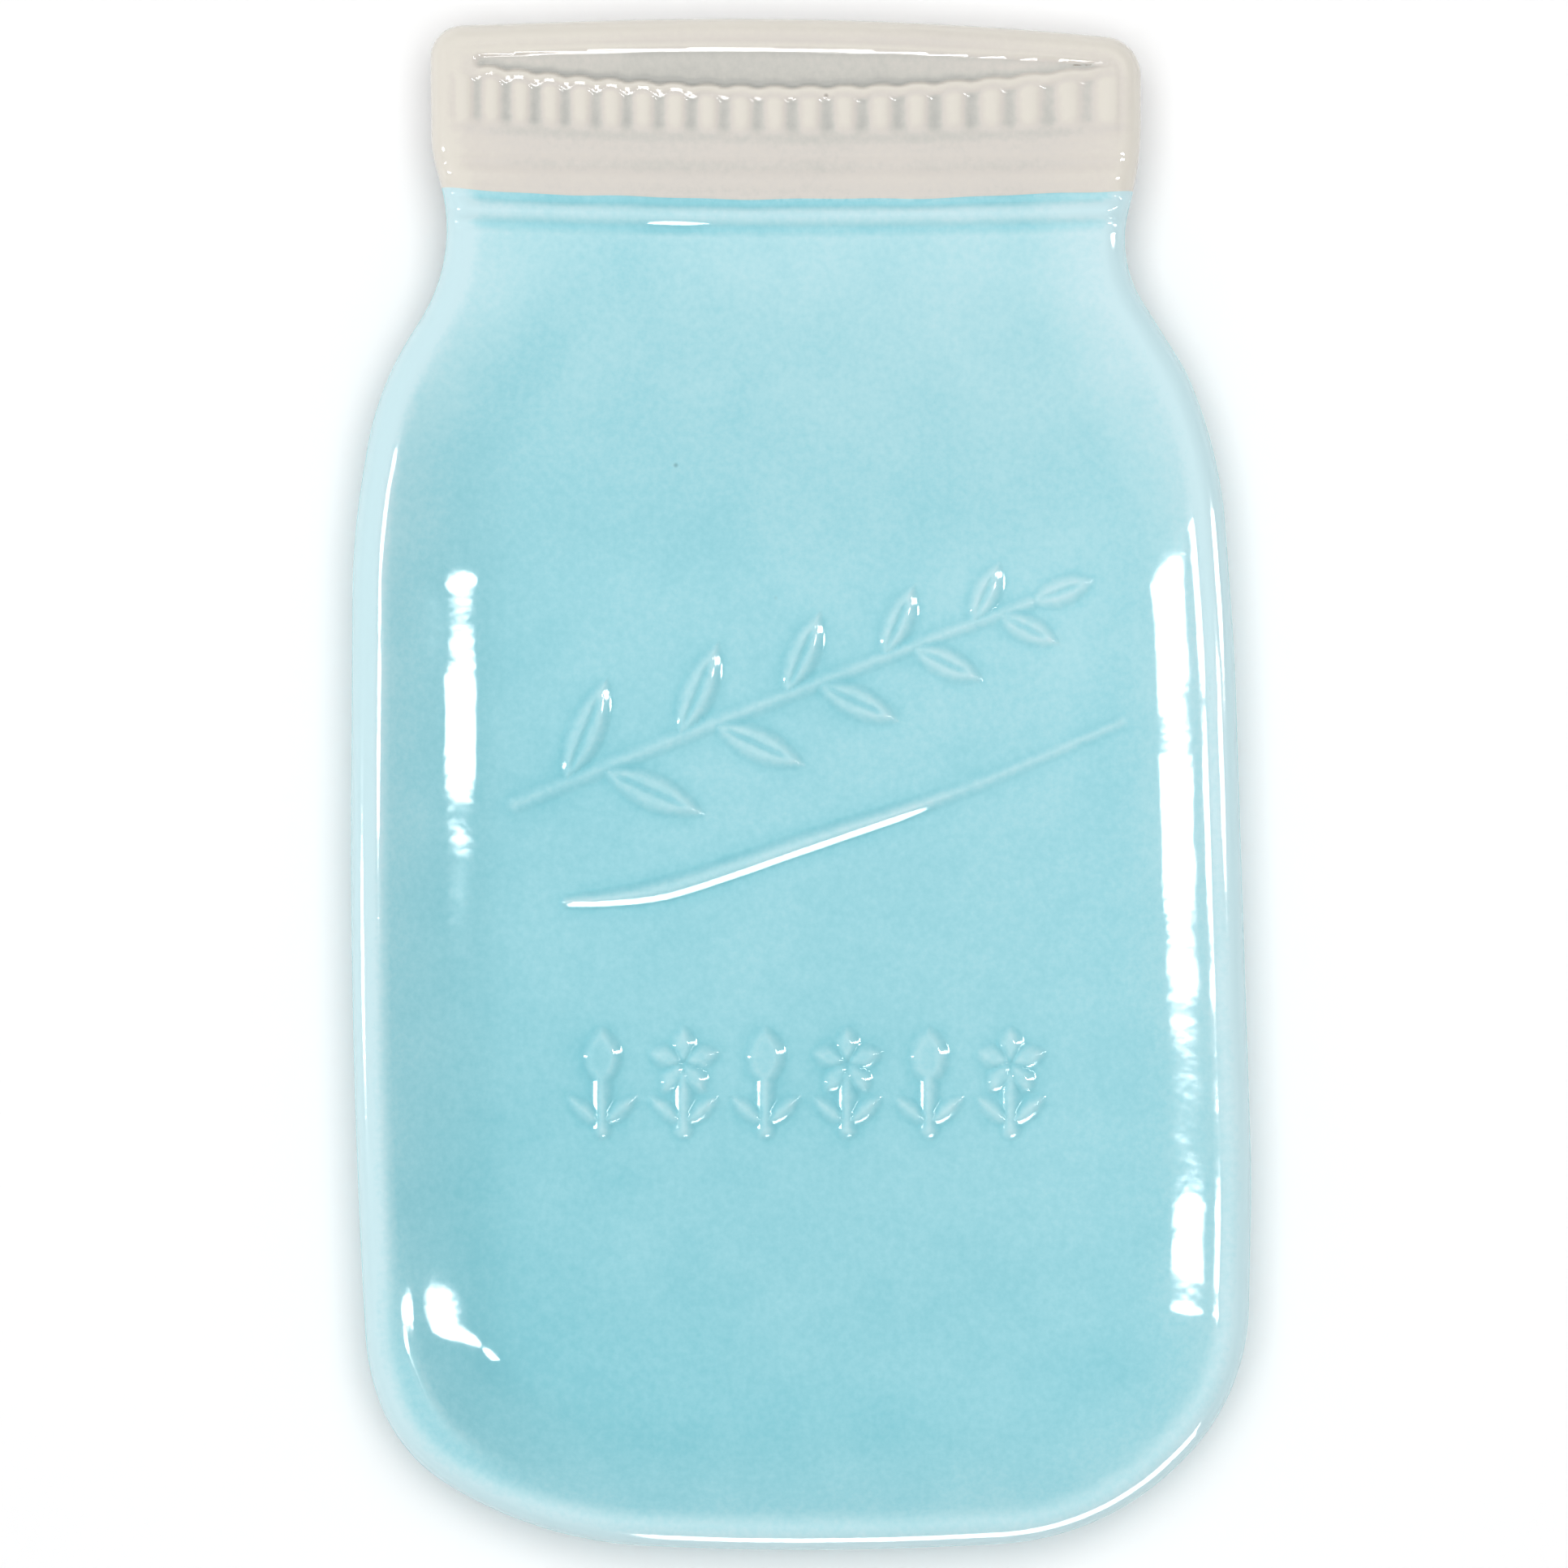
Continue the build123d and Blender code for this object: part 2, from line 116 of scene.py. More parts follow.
def outline_points(corners, spacing):
    """Points round the rounded outline with their outward normals."""
    arcs = corner_arcs(corners)
    places, normals = [], []
    for i, (centre, radius, start, end, bulges) in enumerate(arcs):
        first = math.atan2(*(start - centre)[::-1])
        last = math.atan2(*(end - centre)[::-1])
        turn = (last - first + math.pi) % (2 * math.pi) - math.pi
        steps = max(4, round(abs(turn) * radius / spacing))
        for k in range(steps):
            angle = first + turn * k / steps
            spoke = np.array((math.cos(angle), math.sin(angle)))
            places.append(centre + radius * spoke)
            normals.append(spoke if bulges else -spoke)
        run = arcs[(i + 1) % len(arcs)][2] - end
        length = np.linalg.norm(run)
        steps = max(1, round(length / spacing))
        for k in range(steps):
            places.append(end + run * k / steps)
            normals.append(np.array((run[1], -run[0])) / length)
    return np.array(places), np.array(normals)


def edge_distance(points, corners):
    """Distance in from the rounded outline, below zero outside it."""
    arcs = corner_arcs(corners)
    best = np.full(len(points), np.inf)
    signed = np.zeros(len(points))

    def keep(distance, inside):
        nearer = distance < best
        best[nearer] = distance[nearer]
        signed[nearer] = np.where(inside, distance, -distance)[nearer]

    for i, (centre, radius, start, end, bulges) in enumerate(arcs):
        run = arcs[(i + 1) % len(arcs)][2] - end
        offset = points - end
        along = np.clip(offset @ run / (run @ run), 0, 1)
        gap = offset - along[:, None] * run
        inside = run[0] * offset[:, 1] - run[1] * offset[:, 0] > 0
        keep(np.hypot(gap[:, 0], gap[:, 1]), inside)
        spoke = points - centre
        reach = np.hypot(spoke[:, 0], spoke[:, 1])
        middle = (start + end) / 2 - centre
        middle /= np.linalg.norm(middle)
        widest = (start - centre) @ middle / radius
        within = spoke @ middle > reach * widest
        distance = np.where(within, np.abs(reach - radius), np.inf)
        keep(distance, (reach < radius) == bulges)
    return signed


CORNERS = LID_CORNERS + JAR_CORNERS
FOOT_CORNERS = FOOT_FRONT_CORNERS + [corner for corner in JAR_CORNERS
                                     if corner[1] < FOOT_FOLLOWS_BELOW_Y]


# ---- heights

def smooth(low, high, value):
    """Zero below low, one above high, and an even S between."""
    share = np.clip((value - low) / (high - low), 0.0, 1.0)
    return share * share * (3 - 2 * share)


def hump(offset, half_width):
    """One in the middle of a band, falling smoothly to zero at its half width."""
    share = np.clip(np.abs(offset) / half_width, 0.0, 1.0)
    return 0.5 + 0.5 * np.cos(math.pi * share)


def floor_height(y):
    """The floor: level in the basin, then a smooth climb to the lid's face."""
    return FLOOR_Z + (LID_Z - FLOOR_Z) * smooth(RAMP_START_Y, RAMP_END_Y, y)


def wall_share(inset):
    """The inner wall's section: one at the rim's crest, zero where the floor begins."""
    span = FLOOR_INSET - CREST_INSET
    near = (inset - CREST_INSET) / (STEEPEST_INSET - CREST_INSET)
    far = (FLOOR_INSET - inset) / (FLOOR_INSET - STEEPEST_INSET)
    upper = 1 - (STEEPEST_INSET - CREST_INSET) / span * np.clip(near, 0, None) ** 2
    lower = (FLOOR_INSET - STEEPEST_INSET) / span * np.clip(far, 0, None) ** 2
    return np.where(inset < STEEPEST_INSET, upper, lower)


def rim_round(inset):
    """How far the rounded outside of the rim lies below its crest."""
    share = np.clip(1 - inset / CREST_INSET, 0.0, 1.0)
    drop = RIM_ROUND_DROP * (1 - np.sqrt(np.clip(1 - share * share, 0, None)))
    return drop + OUTSIDE_SLOPE * np.clip(-inset, 0, None)


# ---- relief

# A line across the dish is a pair: its height along Y at the dish's edges and in its middle.
NECK_HALF_WIDTH = 52.0
GLAZE_LINE = (91.0, 89.5)
GLAZE_WAVES = [(0.10, 0.21, 0.6), (0.06, 0.47, 2.1)]  # height, radians for each mm, phase

# The lid's ribs, counted from the left, with hollows between them.
RIB_FIRST_X = -49.5
RIB_FIRST_PITCH = 4.36
RIB_PITCH_GROWTH = 0.046
RIB_HOLLOWS = 19
RIB_DEPTH = 0.42
RIB_DOME = 0.22
RIB_SHARPNESS = 3.0  # how narrow the hollows are against the ribs
RIB_FADE = 0.25  # how much shallower the last hollows on the right are
OUTER_HOLLOW = 0.3  # the depth of one more hollow left of the first, as a share
RIB_END_LINE = (101.6, 99.8)
HOLLOW_START = (-0.9, 1.1)  # rises from here to here over the line of the ribs' lower ends
HOLLOW_STOP = (-1.9, -0.9)  # falls from here to here, under the lens's lower edge
DOME_START = (-1.0, 1.8)
DOME_STOP = (-2.2, -1.0)

# The lens-shaped recess above the ribs.
LENS_DEPTH = 1.6
LENS_HEIGHT = 6.3  # the lens is as deep as LENS_DEPTH where it is this high
LENS_STEP = 0.55  # the sharp drop just inside the lens's upper edge
LENS_STEP_WIDTH = 0.9
LENS_SLOPE_POWER = 1.2
LENS_TOP = (112.85, -0.00063, -12.0)  # height along Y, curvature, and X of its middle
LENS_BOTTOM = (106.5, 0.00138, -1.0)
LENS_BOTTOM_TILT = 0.0003
LENS_SCALLOP = 0.35  # how far the lower edge dips between ribs
LENS_LEFT = (-50.6, -48.6)  # X from which to which the lens opens at its left end
LENS_RIGHT = (47.0, 49.6)  # and closes at its right end
LENS_LIP = 0.60  # height of the raised lip along the lower edge, on the left
LIP_LOWERED = 0.65  # the share of its height that the lip loses to the right
LIP_LOWERED_X = (-20.0, -6.0)
LIP_LEFT = (-50.5, -47.5)
LIP_RIGHT = (44.0, 48.0)

# Bands across the lid and the neck: height, line, half width.
LID_BANDS = [
    (-0.20, (95.2, 94.6), 1.7),
    (0.22, (93.2, 92.1), 2.3),
    (0.10, (100.0, 98.3), 1.5),
    (0.50, (88.0, 87.0), 1.9),
]
LID_EDGE_GROOVE = (0.22, 3.3, 1.2)  # depth, inset of its middle, half width
GLAZE_LINE_GROOVE = (0.34, 0.75, 1.2)  # depth, how far below the glaze line, half width
NECK_GROOVE = (0.30, (85.9, 84.8), 1.4)  # depth, line, half width
NECK_DIMPLE = (0.25, -19.0, 9.0)  # how much deeper, at which X, half width

# The raised ornament in the basin: a long ridge, a sprig over it and a row of ornaments under it.
BASIN_RELIEF = 0.8
SWOOSH_RELIEF = 1.05
STEM_RELIEF = 0.55
VEIN_DEPTH = 0.35  # as a share of the leaf's height
ORNAMENT_SPAN_Y = (-60.0, 46.0)
ORNAMENT_HALF_SPAN_X = 58.0
FAR = 50.0  # counts as far from every raised shape
SWOOSH_SPINE = [(-36.0, -18.2), (-21.0, -16.2), (1.6, -8.8), (25.0, -0.9), (49.6, 9.6)]
SWOOSH_HALF_WIDTHS = [0.8, 1.7, 1.6, 1.2, 0.8]
SWOOSH_FADE = 0.5  # the share of its height that the ridge loses to the right
SWOOSH_FADE_X = (14.0, 26.0)
STEM = [(-44.0, -3.0), (0.0, 14.6), (35.5, 28.0)]
STEM_HALF_WIDTHS = (1.15, 0.80)
LEAF_PAIRS = 5
LEAF_LENGTHS = (17.0, 10.0)
LEAF_WIDTHS = (5.4, 4.2)
LEAF_LEAN = 46.0
LEAF_FIRST = 0.08  # places of the leaves as shares of the stem
LEAF_RUN = 0.78
LEAF_STAGGER = 0.06
ORNAMENT_COUNT = 6
ORNAMENT_PITCH = 12.6
ORNAMENT_ROW = (0.8, -46.1)
ORNAMENT_HEIGHT = 17.0
ORNAMENT_STROKE = 2.6
BUD_WIDTH = 5.6
PETAL_COUNT = 5
PETAL_SIZE = (5.4, 3.4)
BASE_LEAF_LENGTH = 6.6
BASE_LEAF_HEADINGS = (40.0, 140.0)


def sagging(x, ends_y, middle_y):
    """A line across the dish whose middle hangs lower than its ends."""
    return middle_y + (ends_y - middle_y) * (x / NECK_HALF_WIDTH) ** 2


def glaze_line(x):
    """Where the two glazes meet, a little wavy as a dipped edge is."""
    waves = sum(height * np.sin(x * turn + phase) for height, turn, phase in GLAZE_WAVES)
    return sagging(x, *GLAZE_LINE) + waves


def rib_place(x):
    """A number that is whole in the middle of each hollow between ribs."""
    past_first = 4 * RIB_PITCH_GROWTH * (x - RIB_FIRST_X)
    root = np.sqrt(np.clip(RIB_FIRST_PITCH ** 2 + past_first, 0, None))
    return (root - RIB_FIRST_PITCH) / (2 * RIB_PITCH_GROWTH)


def rib_hollow(x):
    """One in the middle of each hollow between ribs and zero on the ribs' crests."""
    place = rib_place(x)
    wave = np.clip(np.cos(math.pi * (place - np.round(place))), 0, 1) ** RIB_SHARPNESS
    ends = smooth(-0.7, -0.3, place) * (1 - smooth(RIB_HOLLOWS - 0.7, RIB_HOLLOWS - 0.3, place))
    fade = 1 - RIB_FADE * smooth(RIB_HOLLOWS - 4.0, RIB_HOLLOWS - 1.0, place)
    return wave * ends * fade + OUTER_HOLLOW * hump(place + 1.0, 0.5)


def lens_edges(x):
    """The lens-shaped recess: its upper edge, and its lower edge scalloped by the ribs."""
    top_y, top_curve, top_x = LENS_TOP
    bottom_y, bottom_curve, bottom_x = LENS_BOTTOM
    upper = top_y + top_curve * (x - top_x) ** 2
    lower = bottom_y + bottom_curve * (x - bottom_x) ** 2 + LENS_BOTTOM_TILT * (x - bottom_x)
    return upper, lower - LENS_SCALLOP * rib_hollow(x)


def lens_span(x):
    """One along the lens, falling to zero at both its ends."""
    return smooth(*LENS_LEFT, x) * (1 - smooth(*LENS_RIGHT, x))


def lens_inside(x, y):
    """One in the lens-shaped recess and zero outside it."""
    upper, lower = lens_edges(x)
    return lens_span(x) * smooth(lower - 0.2, lower + 1.0, y) * (1 - smooth(upper - 0.8, upper, y))


def along_rib(x, y, start, stop):
    """One along the ribs, from their lower ends to just short of the lens's lower edge."""
    end = sagging(x, *RIB_END_LINE)
    lower = lens_edges(x)[1]
    started = smooth(end + start[0], end + start[1], y)
    return started * (1 - smooth(lower + stop[0], lower + stop[1], y))


def rib_rows(x, y):
    """One over the band where the ribs and their hollows run, zero above and below it."""
    return along_rib(x, y, HOLLOW_START, HOLLOW_STOP)


def rib_domes(x, y):
    """One in the middle of each rib, falling to zero at its rounded sides and ends."""
    place = rib_place(x)
    across = hump(place - np.floor(place) - 0.5, 0.5)
    ends = smooth(-0.9, -0.6, place) * (1 - smooth(RIB_HOLLOWS - 0.3, RIB_HOLLOWS, place))
    return across * ends * along_rib(x, y, DOME_START, DOME_STOP)


def lens_recess(x, y):
    """Depth of the lens: a small sharp step at its upper edge, then a slope down to the ribs."""
    upper, lower = lens_edges(x)
    open_height = np.clip(upper - lower, 0.3, None)
    down = np.clip((upper - y) / open_height, 0, 1)
    depth = LENS_DEPTH * np.sqrt(np.clip(open_height / LENS_HEIGHT, 0.05, 1.2)) - LENS_STEP
    recess = LENS_STEP * smooth(0.0, LENS_STEP_WIDTH, upper - y) + depth * down ** LENS_SLOPE_POWER
    return recess * smooth(lower - 0.1, lower + 1.0, y) * lens_span(x)


def lens_lip(x, y):
    """Height of the lip along the lens's lower edge, which stands highest on the left."""
    lower = lens_edges(x)[1]
    height = LENS_LIP * (1 - LIP_LOWERED * smooth(*LIP_LOWERED_X, x))
    height = height * smooth(*LIP_LEFT, x) * (1 - smooth(*LIP_RIGHT, x))
    return height * smooth(lower - 1.5, lower, y) * (1 - smooth(lower, lower + 0.8, y))


def lid_relief(x, y, inset):
    """The lid's lens, ribs, grooves and ridges, and the bead and groove of the neck."""
    height = lens_lip(x, y) - lens_recess(x, y)
    height = height - RIB_DEPTH * rib_hollow(x) * rib_rows(x, y) + RIB_DOME * rib_domes(x, y)
    for rise, line, half_width in LID_BANDS:
        height = height + rise * hump(y - sagging(x, *line), half_width)
    depth, middle, half_width = LID_EDGE_GROOVE
    height = height - depth * hump(inset - middle, half_width) * smooth(97.0, 101.0, y)
    depth, below, half_width = GLAZE_LINE_GROOVE
    height = height - depth * hump(y - (glaze_line(x) - below), half_width)
    depth, line, half_width = NECK_GROOVE
    deeper, dimple_x, dimple_half_width = NECK_DIMPLE
    depth = depth + deeper * hump(x - dimple_x, dimple_half_width)
    height = height - depth * hump(y - sagging(x, *line), half_width)
    return height * (0.35 + 0.65 * smooth(0.8, 3.4, inset))


def quadratic(points, share):
    """A point on the parabola through three points, and its direction."""
    first, middle, last = (np.array(point) for point in points)
    control = 2 * middle - (first + last) / 2
    place = (1 - share) ** 2 * first + 2 * share * (1 - share) * control + share ** 2 * last
    along = 2 * (1 - share) * (control - first) + 2 * share * (last - control)
    return place, along / np.linalg.norm(along)


def heading_of(along):
    """The heading of a direction, in degrees from +X."""
    return math.degrees(math.atan2(along[1], along[0]))


def sprig_leaves():
    """The leaves along the stem, in pairs that shrink towards one leaf at its tip."""
    leaves = []
    for pair in range(LEAF_PAIRS):
        share = pair / (LEAF_PAIRS - 1)
        length = np.interp(share, (0, 1), LEAF_LENGTHS)
        width = np.interp(share, (0, 1), LEAF_WIDTHS)
        for side in (1, -1):
            place = LEAF_FIRST + LEAF_RUN * share + (LEAF_STAGGER if side < 0 else 0.0)
            base, along = quadratic(STEM, place)
            leaves.append((base, length, width, heading_of(along) + side * LEAF_LEAN, True))
    tip, along = quadratic(STEM, 1.0)
    leaves.append((tip, LEAF_LENGTHS[1], LEAF_WIDTHS[1], heading_of(along), True))
    return leaves


def ornament_middles():
    """The middle of each ornament in the row."""
    x, y = ORNAMENT_ROW
    return [np.array((x + (i - (ORNAMENT_COUNT - 1) / 2) * ORNAMENT_PITCH, y))
            for i in range(ORNAMENT_COUNT)]


def ornament_leaves():
    """A bud or a blossom by turns, each over two small leaves."""
    leaves = []
    half = ORNAMENT_HEIGHT / 2
    for i, middle in enumerate(ornament_middles()):
        if i % 2 == 0:
            leaves.append((middle - (0.0, 0.5), half + 0.5, BUD_WIDTH, 90.0, False))
        else:
            length, width = PETAL_SIZE
            for petal in range(PETAL_COUNT):
                heading = 90.0 + 360.0 * petal / PETAL_COUNT
                leaves.append((middle + (0.0, half - length), length, width, heading, False))
        base = middle - (0.0, half - 2.0)
        for heading in BASE_LEAF_HEADINGS:
            leaves.append((base, BASE_LEAF_LENGTH, ORNAMENT_STROKE, heading, False))
    return leaves


def curve_distance(points, places, half_widths):
    """Distance outside a ribbon of changing half width along a run of places."""
    best = np.full(len(points), np.inf)
    for i in range(len(places) - 1):
        run = places[i + 1] - places[i]
        offset = points - places[i]
        along = np.clip(offset @ run / (run @ run), 0, 1)
        gap = offset - along[:, None] * run
        half = half_widths[i] + (half_widths[i + 1] - half_widths[i]) * along
        best = np.minimum(best, np.hypot(gap[:, 0], gap[:, 1]) - half)
    return best


def swoosh_run():
    """The long ridge's spine as a smooth curve, with its half widths along it."""
    spine = np.array(SWOOSH_SPINE)
    stations = np.linspace(0, len(spine) - 1, 41)
    places, widths = [], []
    for station in stations:
        i = min(int(station), len(spine) - 2)
        share = station - i
        before, after = spine[max(i - 1, 0)], spine[min(i + 2, len(spine) - 1)]
        here, there = spine[i], spine[i + 1]
        leave, arrive = (there - before) / 2, (after - here) / 2
        cubic = share ** 3
        square = share ** 2
        places.append((2 * cubic - 3 * square + 1) * here + (cubic - 2 * square + share) * leave
                      + (3 * square - 2 * cubic) * there + (cubic - square) * arrive)
        widths.append(np.interp(station, range(len(spine)), SWOOSH_HALF_WIDTHS))
    return np.array(places), np.array(widths)


def stem_run():
    """The sprig's stem as a run of places with its half widths, thinning to the tip."""
    shares = np.linspace(0, 1, 25)
    base, tip = STEM_HALF_WIDTHS
    return np.array([quadratic(STEM, share)[0] for share in shares]), base - (base - tip) * shares


def stalks():
    """The ornaments' upright stalks as short runs of even half width."""
    half = ORNAMENT_STROKE / 2
    rise = ORNAMENT_HEIGHT / 2 - half
    return [(np.array((middle - (0.0, rise), middle + (0.0, 1.0))), (half, half))
            for middle in ornament_middles()]


# Each leaf is (base, length, width, heading, veined), each run its places and half widths.
LEAVES = sprig_leaves() + ornament_leaves()
STALKS = stalks()
SWOOSH = swoosh_run()
SPRIG_STEM = stem_run()


def leaf_distance(points):
    """Distance outside the nearest leaf or stalk, and how deep a leaf's vein lies there."""
    best = np.full(len(points), FAR)
    vein = np.zeros(len(points))
    for base, length, width, heading, veined in LEAVES:
        turn = math.radians(heading)
        along = np.array((math.cos(turn), math.sin(turn)))
        offset = points - (base + along * length / 2)
        u = offset @ along
        v = np.abs(offset @ np.array((-along[1], along[0])))
        radius = (length ** 2 + width ** 2) / (4 * width)
        best = np.minimum(best, np.hypot(u, v + radius - width / 2) - radius)
        if veined:
            inside = smooth(-0.44 * length, -0.3 * length, u) * (1 - smooth(0.2, 0.4, u / length))
            vein = np.maximum(vein, hump(v, 0.75) * inside)
    for places, half_widths in STALKS:
        best = np.minimum(best, curve_distance(points, places, half_widths))
    return best, vein


def ornament_distance(points):
    """Distance outside the nearest raised shape of any kind in the basin."""
    best = leaf_distance(points)[0]
    for places, half_widths in (SWOOSH, SPRIG_STEM):
        best = np.minimum(best, curve_distance(points, places, half_widths))
    return best


def basin_relief(points):
    """Height of the raised ornament over the basin's floor."""
    height = np.zeros(len(points))
    low_y, high_y = ORNAMENT_SPAN_Y
    near = (points[:, 1] < high_y) & (points[:, 1] > low_y)
    near = near & (np.abs(points[:, 0]) < ORNAMENT_HALF_SPAN_X)
    if near.any():
        distance, vein = leaf_distance(points[near])
        raised = BASIN_RELIEF * (1 - smooth(-1.3, 0.7, distance)) * (1 - VEIN_DEPTH * vein)
        distance = curve_distance(points[near], *SWOOSH)
        fade = 1 - SWOOSH_FADE * smooth(*SWOOSH_FADE_X, points[near, 0])
        raised = np.maximum(raised, SWOOSH_RELIEF * fade * (1 - smooth(-1.5, 0.5, distance)))
        distance = curve_distance(points[near], *SPRIG_STEM)
        height[near] = np.maximum(raised, STEM_RELIEF * (1 - smooth(-1.1, 0.8, distance)))
    return height


# Slow waves over the whole surface: height, radians for each mm of X and of Y, phase.
HAND_WAVES = [(0.018, 0.23, 0.11, 0.4), (0.013, -0.13, 0.31, 1.7), (0.008, 0.52, 0.43, 3.0),
              (0.005, 0.3, 0.71, 0.0)]
FULL_CORNER = (-60.0, -97.0)  # the inner wall is fuller round this corner of the basin
FULL_CORNER_REACH = 11.0
FULL_CORNER_SHIFT = 3.0  # how far in the wall's section moves there
LID_RELIEF_FROM_Y = 80.0
SLOPE_STEP = 0.06
HOLLOW_SAMPLES = 8


def hand_wave(x, y):
    """The slight unevenness of hand-finished ware."""
    return sum(height * np.sin(x * across + y * up + phase)
               for height, across, up, phase in HAND_WAVES)


def top_height(points):
    """Height of the glazed top surface at plan points."""
    x, y = points[:, 0], points[:, 1]
    inset = edge_distance(points, CORNERS)
    floor = floor_height(y)
    reach = (x - FULL_CORNER[0]) ** 2 + (y - FULL_CORNER[1]) ** 2
    corner = np.exp(-reach / (2 * FULL_CORNER_REACH ** 2))
    on_wall = smooth(3.5, 8.0, inset) * (1 - smooth(14.0, 20.0, inset))
    wall_inset = inset - FULL_CORNER_SHIFT * corner * on_wall
    height = floor + (RIM_Z - floor) * wall_share(np.maximum(wall_inset, CREST_INSET))
    height = height - rim_round(inset) + basin_relief(points)
    lid = y > LID_RELIEF_FROM_Y
    height[lid] += lid_relief(x[lid], y[lid], inset[lid])
    return height + hand_wave(x, y) * smooth(0.5, 6.0, inset)


def under_floor(y):
    """The underside away from the wall: the floor's own curve, one thickness lower."""
    return floor_height(y) - CLAY_THICKNESS - 2 * GLAZE_THICKNESS


def under_lip(y):
    """Where the underside meets the rounded edge: higher under the lid than under the basin."""
    return np.maximum(UNDER_LIP_Z, under_floor(y))


def under_height(points):
    """Height of the underside at plan points, without the foot ring."""
    inset = edge_distance(points, CORNERS)
    ground = under_floor(points[:, 1])
    share = np.clip((UNDER_INSET - inset) / (UNDER_INSET - UNDER_LIP_INSET), 0, 1) ** 2
    return ground + (under_lip(points[:, 1]) - ground) * share


def surface_normals(points, height):
    """Unit normals of a height surface, facing up."""
    slopes = []
    for shift in ((SLOPE_STEP, 0.0), (0.0, SLOPE_STEP)):
        rise = height(points + shift) - height(points - np.array(shift))
        slopes.append(rise / (2 * SLOPE_STEP))
    normals = np.stack([-slopes[0], -slopes[1], np.ones(len(points))], axis=1)
    return normals / np.linalg.norm(normals, axis=1)[:, None]


def hollowness(points, height, radius):
    """How much higher the surface stands around each point than at it, over the radius."""
    total = np.zeros(len(points))
    for k in range(HOLLOW_SAMPLES):
        angle = 2 * math.pi * k / HOLLOW_SAMPLES
        total += height(points + radius * np.array((math.cos(angle), math.sin(angle))))
    return (total / HOLLOW_SAMPLES - height(points)) / radius


# ---- skins

EDGE_INSET = 0.35  # the outermost ring of the top surface
RING_SPACING = 0.7
TOP_RINGS = (0.6, 0.95, 1.4, 1.9, 2.5, 3.1, 3.7, 4.4)
WALL_RINGS = tuple(np.concatenate([np.arange(5.2, 13.0, 0.9), np.arange(13.2, 25.0, 1.4)]))
UNDER_RINGS = (1.6, 2.8, 4.4, 6.4, 8.8, 11.4, 14.0)
GRID_CHANGE_Y = 81.0  # the lid's and the neck's own finer grid starts here
FLOOR_GRID = (25.6, 1.25)  # the least inset and the spacing
UNDER_GRID = (15.2, 2.6)
LID_GRID_INSET = 4.4
RELIEF_SPACING = 0.42
RELIEF_BOX = ((-54.0, -60.0), (56.0, 46.0))
RELIEF_REACH = 0.9  # how far the relief's fine grid goes beyond the raised shapes
WALL_CLEARANCE = 1.1
FLOOR_CLEARANCE = 1.3
SEAM_GAP = 0.2
UNDER_SEAM_GAP = 0.6
SEAM_SPACING = 0.5
UNDER_SEAM_SPACING = 1.5
SEAM_BEND = 4.0  # over how many mm the seam bends to meet the edge's own points
EDGE_POOL = 0.42
UNDER_POOL = 0.5
TUCK_TURN = math.radians(43.6)  # the turn of the rounded edge below the widest line
FOOT_SPACING = 1.2
RECESS_SPACING = 6.0
RECESS_MARGIN = 3.0


def hex_grid(low, high, spacing):
    """Points of an even triangular grid over a rectangle."""
    xs = np.arange(low[0], high[0], spacing)
    ys = np.arange(low[1], high[1], spacing * math.sqrt(3) / 2)
    grid_x, grid_y = np.meshgrid(xs, ys)
    grid_x = grid_x + spacing / 2 * (np.arange(len(ys)) % 2)[:, None]
    return np.stack([grid_x.ravel(), grid_y.ravel()], axis=1)


def ring(base, outward, inset, every=1):
    """The plan outline of the glazed surface moved in by inset."""
    return (base - outward * inset)[::every]


def true_ring(base, outward, inset, every):
    """A ring without the points that fold over one another in tight corners."""
    points = ring(base, outward, inset, every)
    return points[edge_distance(points, CORNERS) > inset - 0.05]


def top_points(base, outward, fine):
    """The free points of the top surface, close together where there is relief."""
    step = 1 if fine else 2
    rings = [true_ring(base, outward, inset, step) for inset in TOP_RINGS[::step]]
    wall = np.vstack([true_ring(base, outward, inset, 2 * step) for inset in WALL_RINGS[::step]])
    wall = wall[wall[:, 1] < GRID_CHANGE_Y]
    box_low, box_high = base.min(axis=0), base.max(axis=0)
    least_inset, spacing = FLOOR_GRID
    coarse = hex_grid(box_low, box_high, spacing * step)
    coarse = coarse[(edge_distance(coarse, CORNERS) > least_inset)
                    & (coarse[:, 1] < GRID_CHANGE_Y)]
    spacing = RELIEF_SPACING if fine else RELIEF_SPACING + 0.08
    lid = hex_grid((box_low[0], GRID_CHANGE_Y), box_high, spacing)
    lid = lid[edge_distance(lid, CORNERS) > LID_GRID_INSET + 0.4 * step]
    relief = hex_grid(*RELIEF_BOX, spacing)
    relief = relief[ornament_distance(relief) < RELIEF_REACH]
    wall = wall[ornament_distance(wall) > WALL_CLEARANCE]
    coarse = coarse[ornament_distance(coarse) > FLOOR_CLEARANCE]
    return np.vstack(rings + [wall, coarse, lid, relief])


def triangulate(points, edges):
    """Delaunay triangles over points that keep the given edges, and where each point went."""
    found = delaunay_2d_cdt([Vector(p) for p in points.tolist()], edges, [], 1, 1e-6)
    places = np.array([tuple(v) for v in found[0]])
    faces = np.array(found[2])
    where = np.full(len(points), -1)
    for new, olds in enumerate(found[3]):
        where[list(olds)] = new
    a, b, c = (places[faces[:, k]] for k in range(3))
    area = (b[:, 0] - a[:, 0]) * (c[:, 1] - a[:, 1]) - (b[:, 1] - a[:, 1]) * (c[:, 0] - a[:, 0])
    faces[area < 0] = faces[area < 0][:, ::-1]
    return places, faces, where


